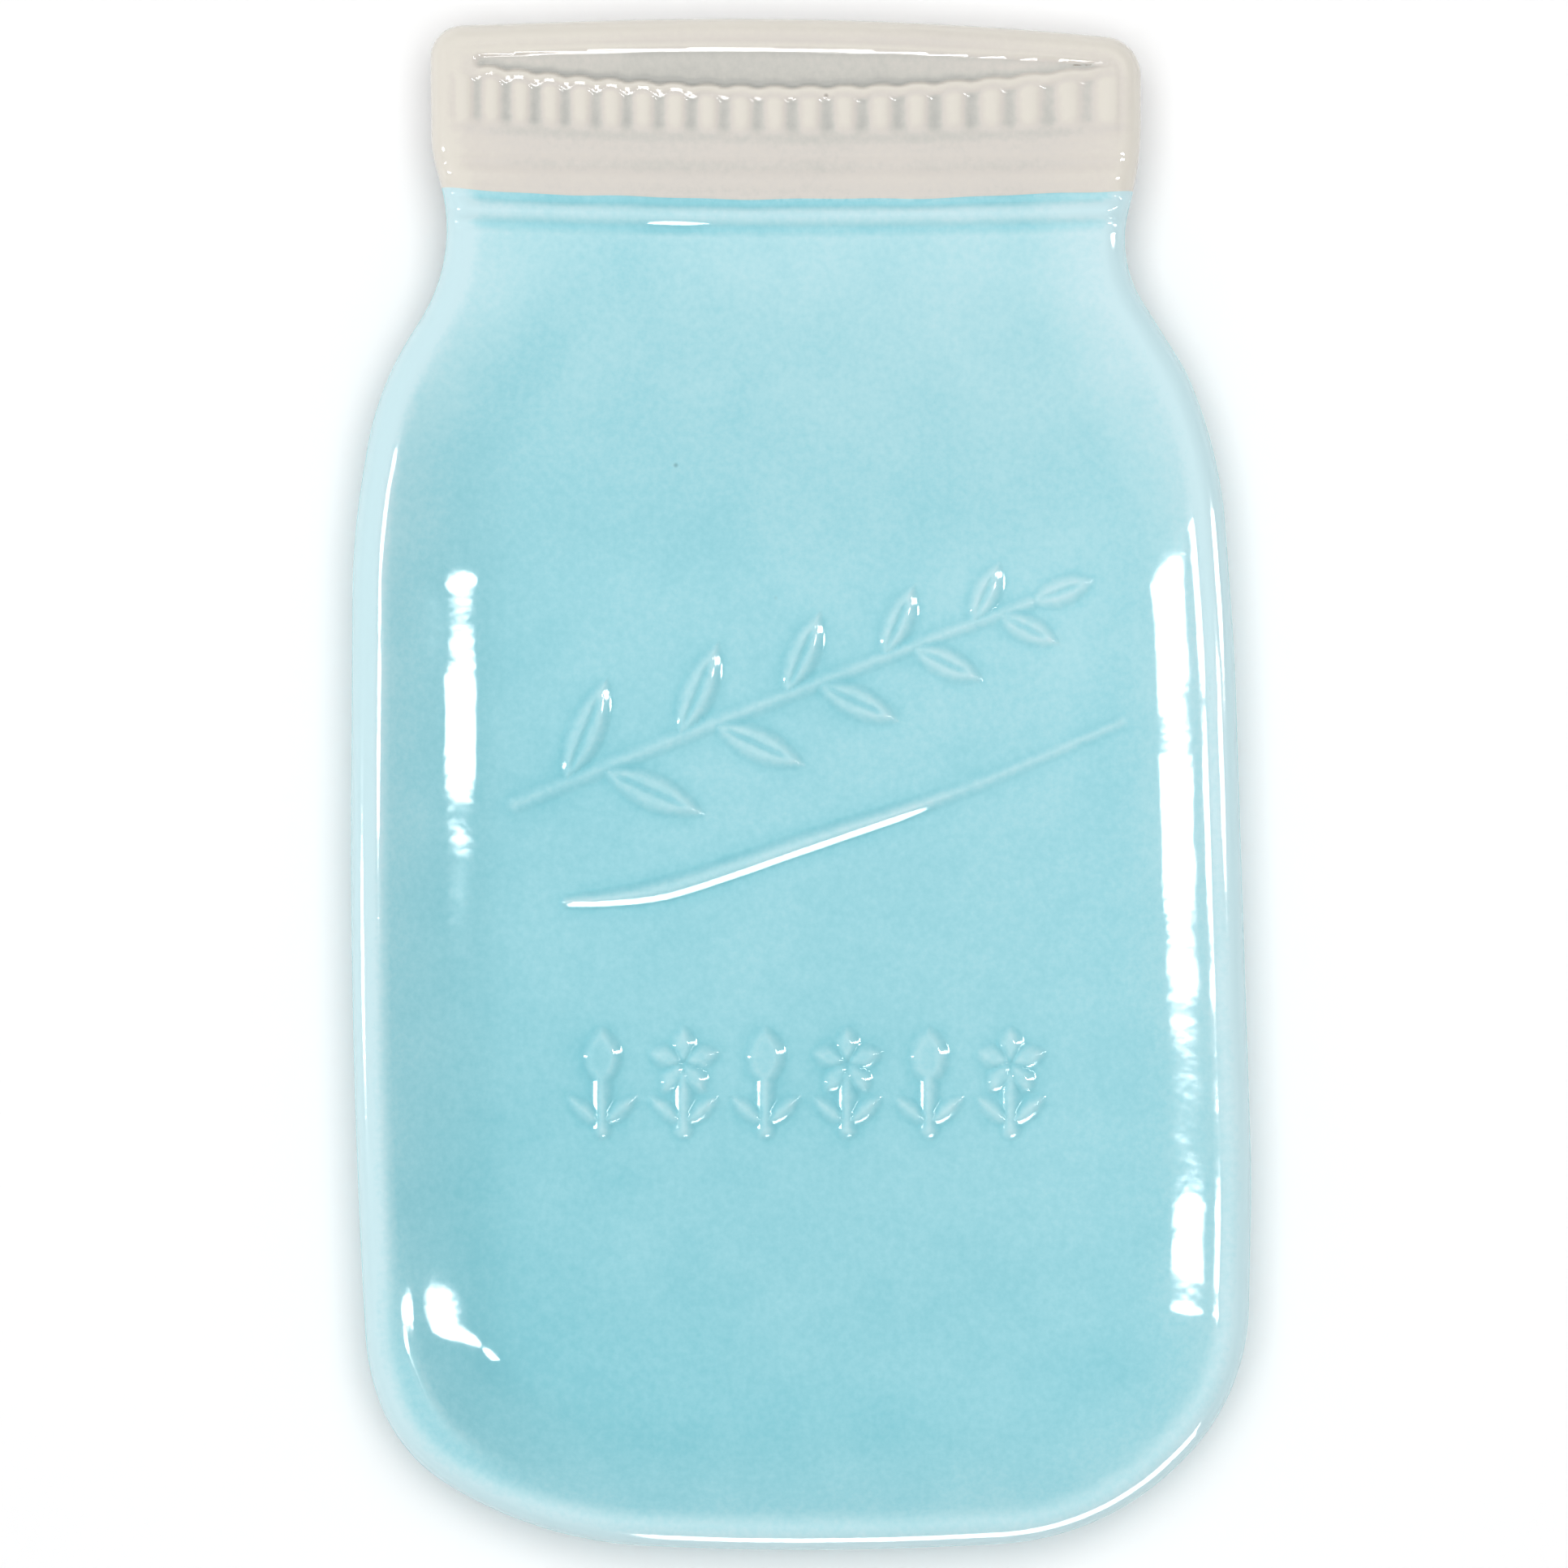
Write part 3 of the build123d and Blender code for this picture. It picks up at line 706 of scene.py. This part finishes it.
def seam_ends(base):
    """The outline samples where the glaze line leaves the plan, right and then left."""
    off = np.abs(base[:, 1] - glaze_line(base[:, 0]))
    right = int(np.argmin(np.where(base[:, 0] > 0, off, np.inf)))
    left = int(np.argmin(np.where(base[:, 0] < 0, off, np.inf)))
    return right, left


def seam_points(start, end, spacing):
    """The glaze line between two points of the edge, without its ends."""
    count = int(abs(start[0] - end[0]) / spacing)
    shares = np.arange(1, count) / count
    x = start[0] + (end[0] - start[0]) * shares
    start_off = start[1] - glaze_line(start[0])
    end_off = end[1] - glaze_line(end[0])
    near = np.exp(-shares * count * spacing / SEAM_BEND)
    far = np.exp(-(1 - shares) * count * spacing / SEAM_BEND)
    return np.stack([x, glaze_line(x) + start_off * near + end_off * far], axis=1)


def loop_edges(first, count):
    """Edges round a closed loop of consecutive points."""
    return [(first + i, first + (i + 1) % count) for i in range(count)]


def band_faces(row_a, row_b):
    """Quads between two closed rows of point numbers."""
    count = len(row_a)
    return [(row_a[i], row_b[i], row_b[(i + 1) % count], row_a[(i + 1) % count])
            for i in range(count)]


def whole_numbers(faces):
    """The faces as tuples of plain whole numbers."""
    return [tuple(int(n) for n in face) for face in faces]


def off_seam(points, gap):
    """The points that keep a gap from the glaze line."""
    return points[np.abs(points[:, 1] - glaze_line(points[:, 0])) > gap]


def on_lid(points):
    """Whether each plan point lies on the lid's side of the glaze line."""
    return points[:, 1] > glaze_line(points[:, 0])


class Surface:
    """Points with normals, glaze pooling with painted shade and sheen, and faces, filled in part
    by part.
    """

    def __init__(self):
        self.places, self.normals, self.pools_with_painted_light = [], [], []
        self.count = 0
        self.faces = []
        self.on_lid = []

    def add(self, places, normals, pools_with_painted_light):
        """Adds points and returns their numbers."""
        numbers = np.arange(self.count, self.count + len(places))
        self.places.append(places)
        self.normals.append(normals)
        self.pools_with_painted_light.append(pools_with_painted_light)
        self.count += len(places)
        return numbers

    def cover(self, faces, lid_flags):
        """Adds faces, each with a flag that is true on the lid's side."""
        self.faces.extend(whole_numbers(faces))
        self.on_lid.extend(bool(flag) for flag in lid_flags)

    def join(self):
        """Turns the lists of added points into whole arrays."""
        self.places = np.vstack(self.places)
        self.normals = np.vstack(self.normals)
        self.pools_with_painted_light = np.concatenate(self.pools_with_painted_light)


def glaze_pool_and_painted_light(points):
    """Glaze thickness from 0, broken thin over an edge, to 1, pooled in a hollow, with painted
    shade and a painted sheen mixed into the same value.
    """
    x, y = points[:, 0], points[:, 1]
    close = hollowness(points, top_height, 1.1)
    wide = hollowness(points, top_height, 3.2)
    inset = edge_distance(points, CORNERS)
    # drift is painted shade: the glaze is darker towards the left and towards the bottom end; its
    # last term, lighter up the ramp to the lid, stands for thinner glaze on that slope.
    drift = -0.08 * x / 68.0 - 0.12 * y / 117.0 - 0.06 * smooth(30.0, 80.0, y)
    thin_wall = 0.15 * smooth(18.0, 5.0, inset)
    # The rim is a little lighter all round where its glaze is thin, and far lighter on the left:
    # that extra paleness on the left is a painted sheen.
    thin_rim_and_painted_sheen = (0.02 + 0.20 * smooth(20.0, -60.0, x)) * (1 - smooth(3.0, 6.0, inset))
    jar = drift - thin_wall - thin_rim_and_painted_sheen
    # The lens is painted darker, most in its middle: pooled glaze in the recess, and painted shade
    # over it.
    lens_pool_and_painted_shade = (0.34 - 0.18 * smooth(14.0, 38.0, np.abs(x + 8.0))) * lens_inside(x, y)
    in_ribs = 0.12 * (1 + rib_hollow(x)) * rib_rows(x, y) - 0.46 * rib_domes(x, y)
    # A painted shade line runs just below the ribs' lower ends.
    painted_shade_below_ribs = 0.18 * hump(y - sagging(x, 100.4, 98.6), 1.4)
    top_edge = 0.14 * smooth(112.5, 114.0, y)
    lid = lens_pool_and_painted_shade + in_ribs + painted_shade_below_ribs + top_edge - thin_wall - thin_rim_and_painted_sheen
    return np.clip(0.5 + 0.65 * close + 0.25 * wide + np.where(on_lid(points), lid, jar), 0.0, 1.0)


def section_rows(base, outward):
    """Rows of points round the dish's edge, from the top surface's ring to the underside's."""
    start = math.acos(1 - EDGE_INSET / CREST_INSET)
    rows = []
    for share in (0.75, 0.5, 0.25, 0.0):
        inset = CREST_INSET * (1 - math.cos(start * share))
        z = RIM_Z - RIM_ROUND_DROP * (1 - math.sin(start * share))
        rows.append((ring(base, outward, inset), np.full(len(base), z)))
    lip = under_lip(base[:, 1])
    for share in (0.2, 0.4, 0.6, 0.8):
        turn = TUCK_TURN * share
        inset = UNDER_LIP_INSET * (1 - math.cos(turn)) / (1 - math.cos(TUCK_TURN))
        z = WIDEST_Z - (WIDEST_Z - lip) * math.sin(turn) / math.sin(TUCK_TURN)
        rows.append((ring(base, outward, inset), z))
    return rows


def cut_plan(base, edge, spacing, free, loop):
    """One side of the dish in plan, cut into triangles that keep its edge, its seam and a loop."""
    right, left = seam_ends(base)
    seam = seam_points(edge[right], edge[left], spacing)
    count = len(edge)
    loop_first = count + len(seam)
    chain = [right, *range(count, loop_first), left]
    edges = loop_edges(0, count) + list(zip(chain[:-1], chain[1:]))
    edges += loop_edges(loop_first, len(loop))
    plan, faces, where = triangulate(np.vstack([edge, seam, loop, free]), edges)
    return plan, faces, where[:count], where[chain], where[loop_first:loop_first + len(loop)]


def add_top(surface, base, outward, fine, depth):
    """The top surface; returns its outermost row, as numbers and as an outline, and its seam."""
    edge = ring(base, outward, EDGE_INSET)
    free = off_seam(top_points(base, outward, fine), SEAM_GAP)
    plan, faces, row, seam, _ = cut_plan(base, edge, SEAM_SPACING, free, np.empty((0, 2)))
    normals = surface_normals(plan, top_height)
    places = np.column_stack([plan, top_height(plan)]) - depth * normals
    numbers = surface.add(places, normals, glaze_pool_and_painted_light(plan))
    surface.cover(numbers[faces], on_lid(plan[faces].mean(axis=1)))
    return numbers[row], (edge, places[row, 2]), list(numbers[seam])


def add_underside(surface, base, outward, depth):
    """The underside round the foot ring; returns what add_top does, and the ring's loop."""
    edge = ring(base, outward, UNDER_LIP_INSET)
    foot_base, foot_outward = outline_points(FOOT_CORNERS, FOOT_SPACING)
    foot_loop = foot_base - foot_outward * FOOT_INSET
    least_inset, spacing = UNDER_GRID
    grid = hex_grid(base.min(axis=0), base.max(axis=0), spacing)
    rings = [true_ring(base, outward, inset, 3) for inset in UNDER_RINGS]
    free = np.vstack(rings + [grid[edge_distance(grid, CORNERS) > least_inset]])
    free = free[edge_distance(free, FOOT_CORNERS) < FOOT_INSET - 0.8]
    free = off_seam(free, UNDER_SEAM_GAP)
    plan, faces, row, seam, loop = cut_plan(base, edge, UNDER_SEAM_SPACING, free, foot_loop)
    faces = faces[edge_distance(plan[faces].mean(axis=1), FOOT_CORNERS) < FOOT_INSET]
    normals = -surface_normals(plan, under_height)
    places = np.column_stack([plan, under_height(plan)]) - depth * normals
    numbers = surface.add(places, normals, np.full(len(plan), UNDER_POOL))
    surface.cover(numbers[faces][:, ::-1], on_lid(plan[faces].mean(axis=1)))
    return numbers[row], (edge, places[row, 2]), list(numbers[seam]), list(numbers[loop])


def add_edge(surface, base, outward, depth, top, under):
    """The rounded edge between the top's outermost row and the underside's; returns its rows."""
    right, left = seam_ends(base)
    (top_row, top_outline), (under_row, under_outline) = top, under
    outlines = [top_outline, *section_rows(base, outward), under_outline]
    numbers = [top_row]
    for i in range(1, len(outlines) - 1):
        (before, low), (plan, z), (after, high) = outlines[i - 1:i + 2]
        out = ((after - before) * outward).sum(axis=1)
        rise = high - low
        length = np.hypot(out, rise)
        normals = np.column_stack([outward * (-rise / length)[:, None], out / length])
        places = np.column_stack([plan, z]) - depth * normals
        numbers.append(surface.add(places, normals, np.full(len(base), EDGE_POOL)))
    numbers.append(under_row)
    lid_side = on_lid(base)
    lid_side[[right, left]] = False
    lid_steps = lid_side | np.roll(lid_side, -1)
    for upper, lower in zip(numbers[:-1], numbers[1:]):
        surface.cover(band_faces(upper, lower), lid_steps)
    return numbers


def skin(fine, depth):
    """The whole glazed surface moved inwards by depth, with its seam and its foot loop."""
    surface = Surface()
    base, outward = outline_points(CORNERS, RING_SPACING)
    top_row, top_outline, top_seam = add_top(surface, base, outward, fine, depth)
    under_row, under_outline, under_seam, foot = add_underside(surface, base, outward, depth)
    rows = add_edge(surface, base, outward, depth, (top_row, top_outline),
                    (under_row, under_outline))
    right, left = seam_ends(base)
    surface.seam = (top_seam + [row[left] for row in rows[1:-1]]
                    + under_seam[::-1] + [row[right] for row in rows[-2:0:-1]])
    surface.foot = foot
    surface.join()
    return surface


# ---- closed pieces

def piece(name, places, faces, loop_normals, pools_with_painted_light):
    """A mesh object in metres from points, faces, a normal for every face corner, and the glaze
    pooling with its painted shade and sheen.
    """
    sizes = [len(face) for face in faces]
    used, numbers = np.unique(np.concatenate([np.array(face) for face in faces]),
                              return_inverse=True)
    starts = np.concatenate([[0], np.cumsum(sizes)])
    lists = numbers.tolist()
    faces = [lists[a:b] for a, b in zip(starts[:-1], starts[1:])]
    mesh = bpy.data.meshes.new(name)
    mesh.from_pydata((places[used] * MM).tolist(), [], faces)
    mesh.attributes.new("pool_with_painted_light", "FLOAT", "POINT").data.foreach_set("value", pools_with_painted_light[used])
    mesh.polygons.foreach_set("use_smooth", [True] * len(faces))
    mesh.normals_split_custom_set(np.concatenate(loop_normals).tolist())
    shown = bpy.data.objects.new(name, mesh)
    bpy.context.scene.collection.objects.link(shown)
    return shown


def flat_normals(places, faces):
    """One normal per face, repeated for its corners."""
    rows = []
    for face in faces:
        a, b, c, d = (places[n] for n in face)
        normal = np.cross(c - a, d - b)
        rows.append(np.tile(normal / max(np.linalg.norm(normal), 1e-9), (4, 1)))
    return rows


def coat(name, outer, inner, lid_side, seam_faces, foot_faces):
    """A glaze coat: its outside, its inside turned over, and the strips that close it."""
    shift = len(outer.places)
    places = np.vstack([outer.places, inner.places])
    pools_with_painted_light = np.concatenate([outer.pools_with_painted_light, inner.pools_with_painted_light])
    faces, normals = [], []
    for face, flag in zip(outer.faces, outer.on_lid):
        if flag == lid_side:
            faces.append(face)
            normals.append(outer.normals[list(face)])
    for face, flag in zip(inner.faces, inner.on_lid):
        if flag == lid_side:
            faces.append(tuple(n + shift for n in face[::-1]))
            normals.append(-inner.normals[list(face[::-1])])
    strips = [face[::-1] for face in seam_faces] if lid_side else seam_faces + foot_faces
    faces += strips
    normals += flat_normals(places, strips)
    return piece(name, places, faces, normals, pools_with_painted_light)


def foot_profile():
    """The foot ring's section: distance in from the foot's outline, height, and its normal."""
    turns = [share * math.pi / 2 for share in (0.0, 0.25, 0.5, 0.75, 1.0)]
    outer_side = [(FOOT_ROUND * (1 - math.cos(turn)), turn, -1) for turn in turns]
    inner_side = [(FOOT_WIDTH - inset, turn, 1) for inset, turn, side in outer_side[::-1]]
    rows = [(0.0, FOOT_HEIGHT * 0.75, (-1, 0))]
    for inset, turn, side in outer_side + inner_side:
        normal = (side * math.cos(turn), -math.sin(turn))
        rows.append((inset, FOOT_ROUND * (1 - math.sin(turn)), normal))
    rows.append((FOOT_WIDTH + 0.1, FOOT_HEIGHT * 0.8, (0.9, -0.44)))
    rows.append((FOOT_WIDTH + FOOT_FADE, FOOT_HEIGHT, (0, -1)))
    return rows


def clay(name, inner):
    """The clay body: the glaze's inside, the bare foot ring and the recess within it."""
    base, outward = outline_points(FOOT_CORNERS, FOOT_SPACING)
    count = len(base)
    places, normals = [inner.places], [inner.normals]
    start = len(inner.places)
    rows = [np.array(inner.foot)]
    for inset, z, (out, rise) in foot_profile():
        plan = base - outward * (FOOT_INSET + inset)
        size = math.hypot(out, rise)
        places.append(np.column_stack([plan, np.full(count, z)]))
        normals.append(np.column_stack([outward * (-out / size), np.full(count, rise / size)]))
        rows.append(np.arange(start, start + count))
        start += count
    faces = list(inner.faces)
    for outer_row, inner_row in zip(rows[:-1], rows[1:]):
        faces += whole_numbers(band_faces(outer_row, inner_row))
    recess_inset = FOOT_INSET + FOOT_WIDTH
    free = hex_grid(base.min(axis=0), base.max(axis=0), RECESS_SPACING)
    free = free[edge_distance(free, FOOT_CORNERS) > recess_inset + RECESS_MARGIN]
    recess_edge = places[-1][:, :2]
    plan, recess, where = triangulate(np.vstack([recess_edge, free]), loop_edges(0, count))
    places.append(np.column_stack([plan, np.full(len(plan), FOOT_HEIGHT)]))
    normals.append(np.tile((0.0, 0.0, -1.0), (len(plan), 1)))
    numbers = np.arange(start, start + len(plan))
    numbers[where[:count]] = rows[-1]
    middles = plan[recess].mean(axis=1)
    recess = recess[edge_distance(middles, FOOT_CORNERS) > recess_inset + FOOT_FADE - 0.05]
    faces += whole_numbers(numbers[recess][:, ::-1])
    places, normals = np.vstack(places), np.vstack(normals)
    loop_normals = [normals[list(face)] for face in faces]
    return piece(name, places, faces, loop_normals, np.full(len(places), UNDER_POOL))


def build_pieces():
    """The clay body and the two glaze coats, each a closed mesh in the frame."""
    outer, inner = skin(True, 0.0), skin(False, GLAZE_THICKNESS)
    shift = len(outer.places)
    seam_faces = whole_numbers(band_faces(outer.seam, [n + shift for n in inner.seam]))
    foot_faces = whole_numbers(band_faces(outer.foot, [n + shift for n in inner.foot]))
    return {
        "clay_body": clay("clay", inner),
        "aqua_glaze": coat("aqua_coat", outer, inner, False, seam_faces, foot_faces),
        "ivory_glaze": coat("ivory_coat", outer, inner, True, seam_faces, foot_faces),
    }


# ---- materials

class Nodes:
    """A material's node tree with short calls for making and joining nodes."""

    def __init__(self, name):
        self.material = bpy.data.materials.new(name)
        self.material.use_nodes = True
        self.tree = self.material.node_tree
        self.shader = self.tree.nodes["Principled BSDF"]
        coordinates = self.tree.nodes.new("ShaderNodeTexCoord")
        self.place = coordinates.outputs["Object"]

    def put(self, kind, inputs=(), **settings):
        node = self.tree.nodes.new("ShaderNode" + kind)
        for key, value in settings.items():
            setattr(node, key, value)
        for key, value in dict(inputs).items():
            if isinstance(value, bpy.types.NodeSocket):
                self.tree.links.new(value, node.inputs[key])
            else:
                node.inputs[key].default_value = value
        return node

    def noise(self, scale, detail=2.0, roughness=0.5):
        node = self.put("TexNoise", {"Vector": self.place, "Scale": scale, "Detail": detail,
                                     "Roughness": roughness})
        return node.outputs["Fac"]

    def math(self, operation, first, second):
        return self.put("Math", {0: first, 1: second}, operation=operation).outputs[0]

    def spread(self, value, low, high, to_low, to_high):
        node = self.put("MapRange", {"Value": value, "From Min": low, "From Max": high,
                                     "To Min": to_low, "To Max": to_high})
        return node.outputs["Result"]

    def ramp(self, value, stops):
        node = self.put("ValToRGB", {"Fac": value})
        elements = node.color_ramp.elements
        while len(elements) < len(stops):
            elements.new(0.5)
        for element, (position, colour) in zip(elements, stops):
            element.position = position
            element.color = (*colour, 1.0)
        return node.outputs["Color"]

    def blend(self, kind, share, first, second):
        node = self.put("Mix", {"Factor": share}, data_type="RGBA", blend_type=kind)
        for socket, value in ((node.inputs[6], first), (node.inputs[7], second)):
            if isinstance(value, bpy.types.NodeSocket):
                self.tree.links.new(value, socket)
            else:
                socket.default_value = (*value, 1.0)
        return node.outputs[2]

    def dress(self, colour, height, bump_strength, roughness):
        """Joins a colour and a bumpy height to the shader."""
        bump = self.put("Bump", {"Height": height, "Strength": bump_strength,
                                 "Distance": BUMP_DEPTH})
        self.tree.links.new(colour, self.shader.inputs["Base Color"])
        self.tree.links.new(bump.outputs["Normal"], self.shader.inputs["Normal"])
        self.shader.inputs["Roughness"].default_value = roughness


NOISE_RANGE = (0.3, 0.7)  # where nearly all of a noise's values lie
MOTTLE = 0.05  # how far slow and fine noise move the glaze's pooling
GRAIN = 0.06
SPECK_CELLS = 260.0  # cells for each metre, of which a few hold a speck
SPECK_EDGE = (0.04, 0.13)  # a speck's solid middle and its soft outside, in cells
SPECK_STRENGTH = 0.55
GLAZE_PEEL = 0.12  # strength of the glaze's slight unevenness
GLAZE_ROUGHNESS = 0.07
GLAZE_IOR = 1.52
CLAY_ROUGHNESS = 0.85
BUMP_DEPTH = 0.0002
FLOOR_GREY = 0.90
AQUA_STOPS = [(0.10, (0.64, 0.87, 0.92)), (0.32, (0.48, 0.80, 0.86)),
              (0.50, (0.36, 0.725, 0.80)), (0.68, (0.27, 0.65, 0.73)),
              (0.95, (0.19, 0.56, 0.65))]
IVORY_STOPS = [(0.10, (0.82, 0.78, 0.70)), (0.36, (0.765, 0.72, 0.66)),
               (0.50, (0.74, 0.70, 0.65)), (0.70, (0.64, 0.63, 0.585)),
               (0.95, (0.52, 0.52, 0.49))]
CLAY_STOPS = [(0.3, (0.48, 0.40, 0.31)), (0.5, (0.62, 0.53, 0.42)), (0.72, (0.72, 0.64, 0.53))]
CLAY_STAIN = (0.52, 0.43, 0.33)
AQUA_SPECK = (0.05, 0.14, 0.15)
IVORY_SPECK = (0.16, 0.13, 0.10)


def glaze_material(name, stops, speck_colour, speck_share):
    """A glossy glaze: paler where thin, deeper where pooled or where shade and sheen are painted
    into the pool value, faintly mottled, with specks.
    """
    nodes = Nodes(name)
    # The pool value holds real glaze pooling and also painted shade and sheen.
    pool_with_painted_light = nodes.put("Attribute", attribute_name="pool_with_painted_light").outputs["Fac"]
    drift = nodes.spread(nodes.noise(70.0, 3.0), *NOISE_RANGE, -MOTTLE, MOTTLE)
    grain = nodes.spread(nodes.noise(900.0, 3.0, 0.6), *NOISE_RANGE, -GRAIN, GRAIN)
    amount = nodes.math("ADD", nodes.math("ADD", pool_with_painted_light, drift), grain)
    colour = nodes.ramp(amount, stops)
    cells = nodes.put("TexVoronoi", {"Vector": nodes.place, "Scale": SPECK_CELLS}, feature="F1")
    near = nodes.spread(cells.outputs["Distance"], *SPECK_EDGE, 1.0, 0.0)
    picked = nodes.put("SeparateColor", {"Color": cells.outputs["Color"]}).outputs[0]
    first, last = 1.0 - speck_share, 1.0 - speck_share * 0.6
    chosen = nodes.spread(picked, first, last, 0.0, SPECK_STRENGTH)
    colour = nodes.blend("MIX", nodes.math("MULTIPLY", near, chosen), colour, speck_colour)
    nodes.dress(colour, nodes.noise(260.0, 2.0), GLAZE_PEEL, GLAZE_ROUGHNESS)
    nodes.shader.inputs["IOR"].default_value = GLAZE_IOR
    return nodes.material


def clay_material(name):
    """Bare fired stoneware: matt, sandy, with fine dark and pale grains."""
    nodes = Nodes(name)
    grain = nodes.noise(1400.0, 4.0, 0.7)
    stain = nodes.spread(nodes.noise(45.0, 2.0), 0.35, 0.65, 0.0, 0.25)
    colour = nodes.blend("MIX", stain, nodes.ramp(grain, CLAY_STOPS), CLAY_STAIN)
    nodes.dress(colour, grain, 0.5, CLAY_ROUGHNESS)
    return nodes.material


def floor_material(name):
    """A plain pale floor."""
    nodes = Nodes(name)
    nodes.shader.inputs["Base Color"].default_value = (FLOOR_GREY, FLOOR_GREY, FLOOR_GREY, 1.0)
    nodes.shader.inputs["Roughness"].default_value = 0.9
    nodes.shader.inputs["Specular IOR Level"].default_value = 0.0
    return nodes.material


materials = {
    "clay_body": clay_material("bare_stoneware"),
    "aqua_glaze": glaze_material("aqua_glaze", AQUA_STOPS, AQUA_SPECK, 0.010),
    "ivory_glaze": glaze_material("ivory_glaze", IVORY_STOPS, IVORY_SPECK, 0.016),
}
shown_pieces = build_pieces()
for node, shown in shown_pieces.items():
    shown.data.materials.append(materials[node])
    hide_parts(node)
    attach(shown, "root")


# ---- floor, lights, camera

CAMERA_DISTANCE = 1.2
VIEW_WIDTH = 0.2407
VIEW_CENTRE = (-0.0026, 0.0)
SENSOR = 36.0
FLOOR_SIZE = 6.0
WORLD_STRENGTH = 0.36
STRIP_RADIANCE = 24.0
CENTRE = (0.0, 0.0, 0.0)


def aim(thing, target):
    """Turns a light or camera to face a point."""
    direction = Vector(target) - thing.location
    thing.rotation_euler = direction.to_track_quat("-Z", "Y").to_euler()


def place_at(azimuth, zenith, distance, shift):
    """A point seen from shift at an azimuth from +X and an angle from straight up."""
    turn, lean = math.radians(azimuth), math.radians(zenith)
    level = math.sin(lean)
    out = Vector((level * math.cos(turn), level * math.sin(turn), math.cos(lean)))
    return out * distance + Vector(shift)


def softbox(name, azimuth, zenith, distance, width, height, radiance, shift=CENTRE):
    """A light panel facing the dish, set by its radiance, that is not seen in reflections."""
    light = bpy.data.lights.new(name, "AREA")
    light.shape = "RECTANGLE"
    light.size, light.size_y = width, height
    light.energy = radiance * math.pi * width * height
    box = bpy.data.objects.new(name, light)
    bpy.context.scene.collection.objects.link(box)
    box.location = place_at(azimuth, zenith, distance, shift)
    aim(box, shift)
    box.visible_camera = False
    box.visible_glossy = False
    return box


def strip(name, azimuth, zenith, distance, width, height, radiance=STRIP_RADIANCE,
          shape="ELLIPSE", shift=CENTRE):
    """A light that only shows in reflections, as a highlight on the glaze."""
    box = softbox(name, azimuth, zenith, distance, width, height, radiance, shift)
    box.data.shape = shape
    box.visible_glossy = True
    box.visible_diffuse = False
    return box


def spare(light, things):
    """Keeps a light off some things."""
    spared = bpy.data.collections.new("spared_" + light.name)
    for thing in things:
        spared.objects.link(thing)
    light.light_linking.receiver_collection = spared
    for entry in spared.collection_objects:
        entry.light_linking.link_state = "EXCLUDE"


# Name, azimuth, zenith angle, distance, width, height, radiance.
key = softbox("key", 60.0, 6.0, 1.8, 0.8, 0.8, 9.0)
floor_light = softbox("floor_light", 90.0, 5.0, 1.8, 1.5, 1.5, 4.3)
left_panel = softbox("left_panel", 180.0, 62.0, 1.2, 1.0, 0.6, 1.5)
strip("right_strip", 0.0, 34.0, 0.6, 0.054, 0.24, shift=(0.0, 0.014, 0.0))
strip("left_strip", -177.5, 66.5, 4.5, 0.27, 1.4)
corner_strip = strip("corner_strip", 6.4, 60.0, 3.0, 0.26, 1.3)
strip("front_strip", -69.0, 74.0, 0.6, 0.58, 0.23, 20.0, "RECTANGLE")
lens_strip = strip("lens_strip", -100.0, 54.0, 0.6, 0.16, 0.22, 12.0, "RECTANGLE")

world = bpy.data.worlds.new("studio")
bpy.context.scene.world = world
world.use_nodes = True
background = world.node_tree.nodes["Background"]
background.inputs["Color"].default_value = (1.0, 1.0, 1.0, 1.0)
background.inputs["Strength"].default_value = WORLD_STRENGTH

bpy.ops.mesh.primitive_plane_add(size=FLOOR_SIZE, location=CENTRE)
floor = bpy.context.object
floor.name = "floor"
floor.data.materials.append(floor_material("pale_floor"))
spare(key, [floor])
spare(left_panel, [floor])
spare(floor_light, shown_pieces.values())
spare(corner_strip, [shown_pieces["ivory_glaze"]])
spare(lens_strip, [shown_pieces["aqua_glaze"]])

camera_data = bpy.data.cameras.new("camera")
camera = bpy.data.objects.new("camera", camera_data)
bpy.context.scene.collection.objects.link(camera)
camera_data.sensor_width = SENSOR
camera_data.lens = SENSOR * CAMERA_DISTANCE / VIEW_WIDTH
camera_data.clip_end = 20.0
camera.location = (*VIEW_CENTRE, WIDEST_Z * MM + CAMERA_DISTANCE)
camera.rotation_euler = (0.0, 0.0, 0.0)
bpy.context.scene.camera = camera

bpy.context.scene.view_settings.view_transform = "Standard"
bpy.context.scene.view_settings.look = "None"
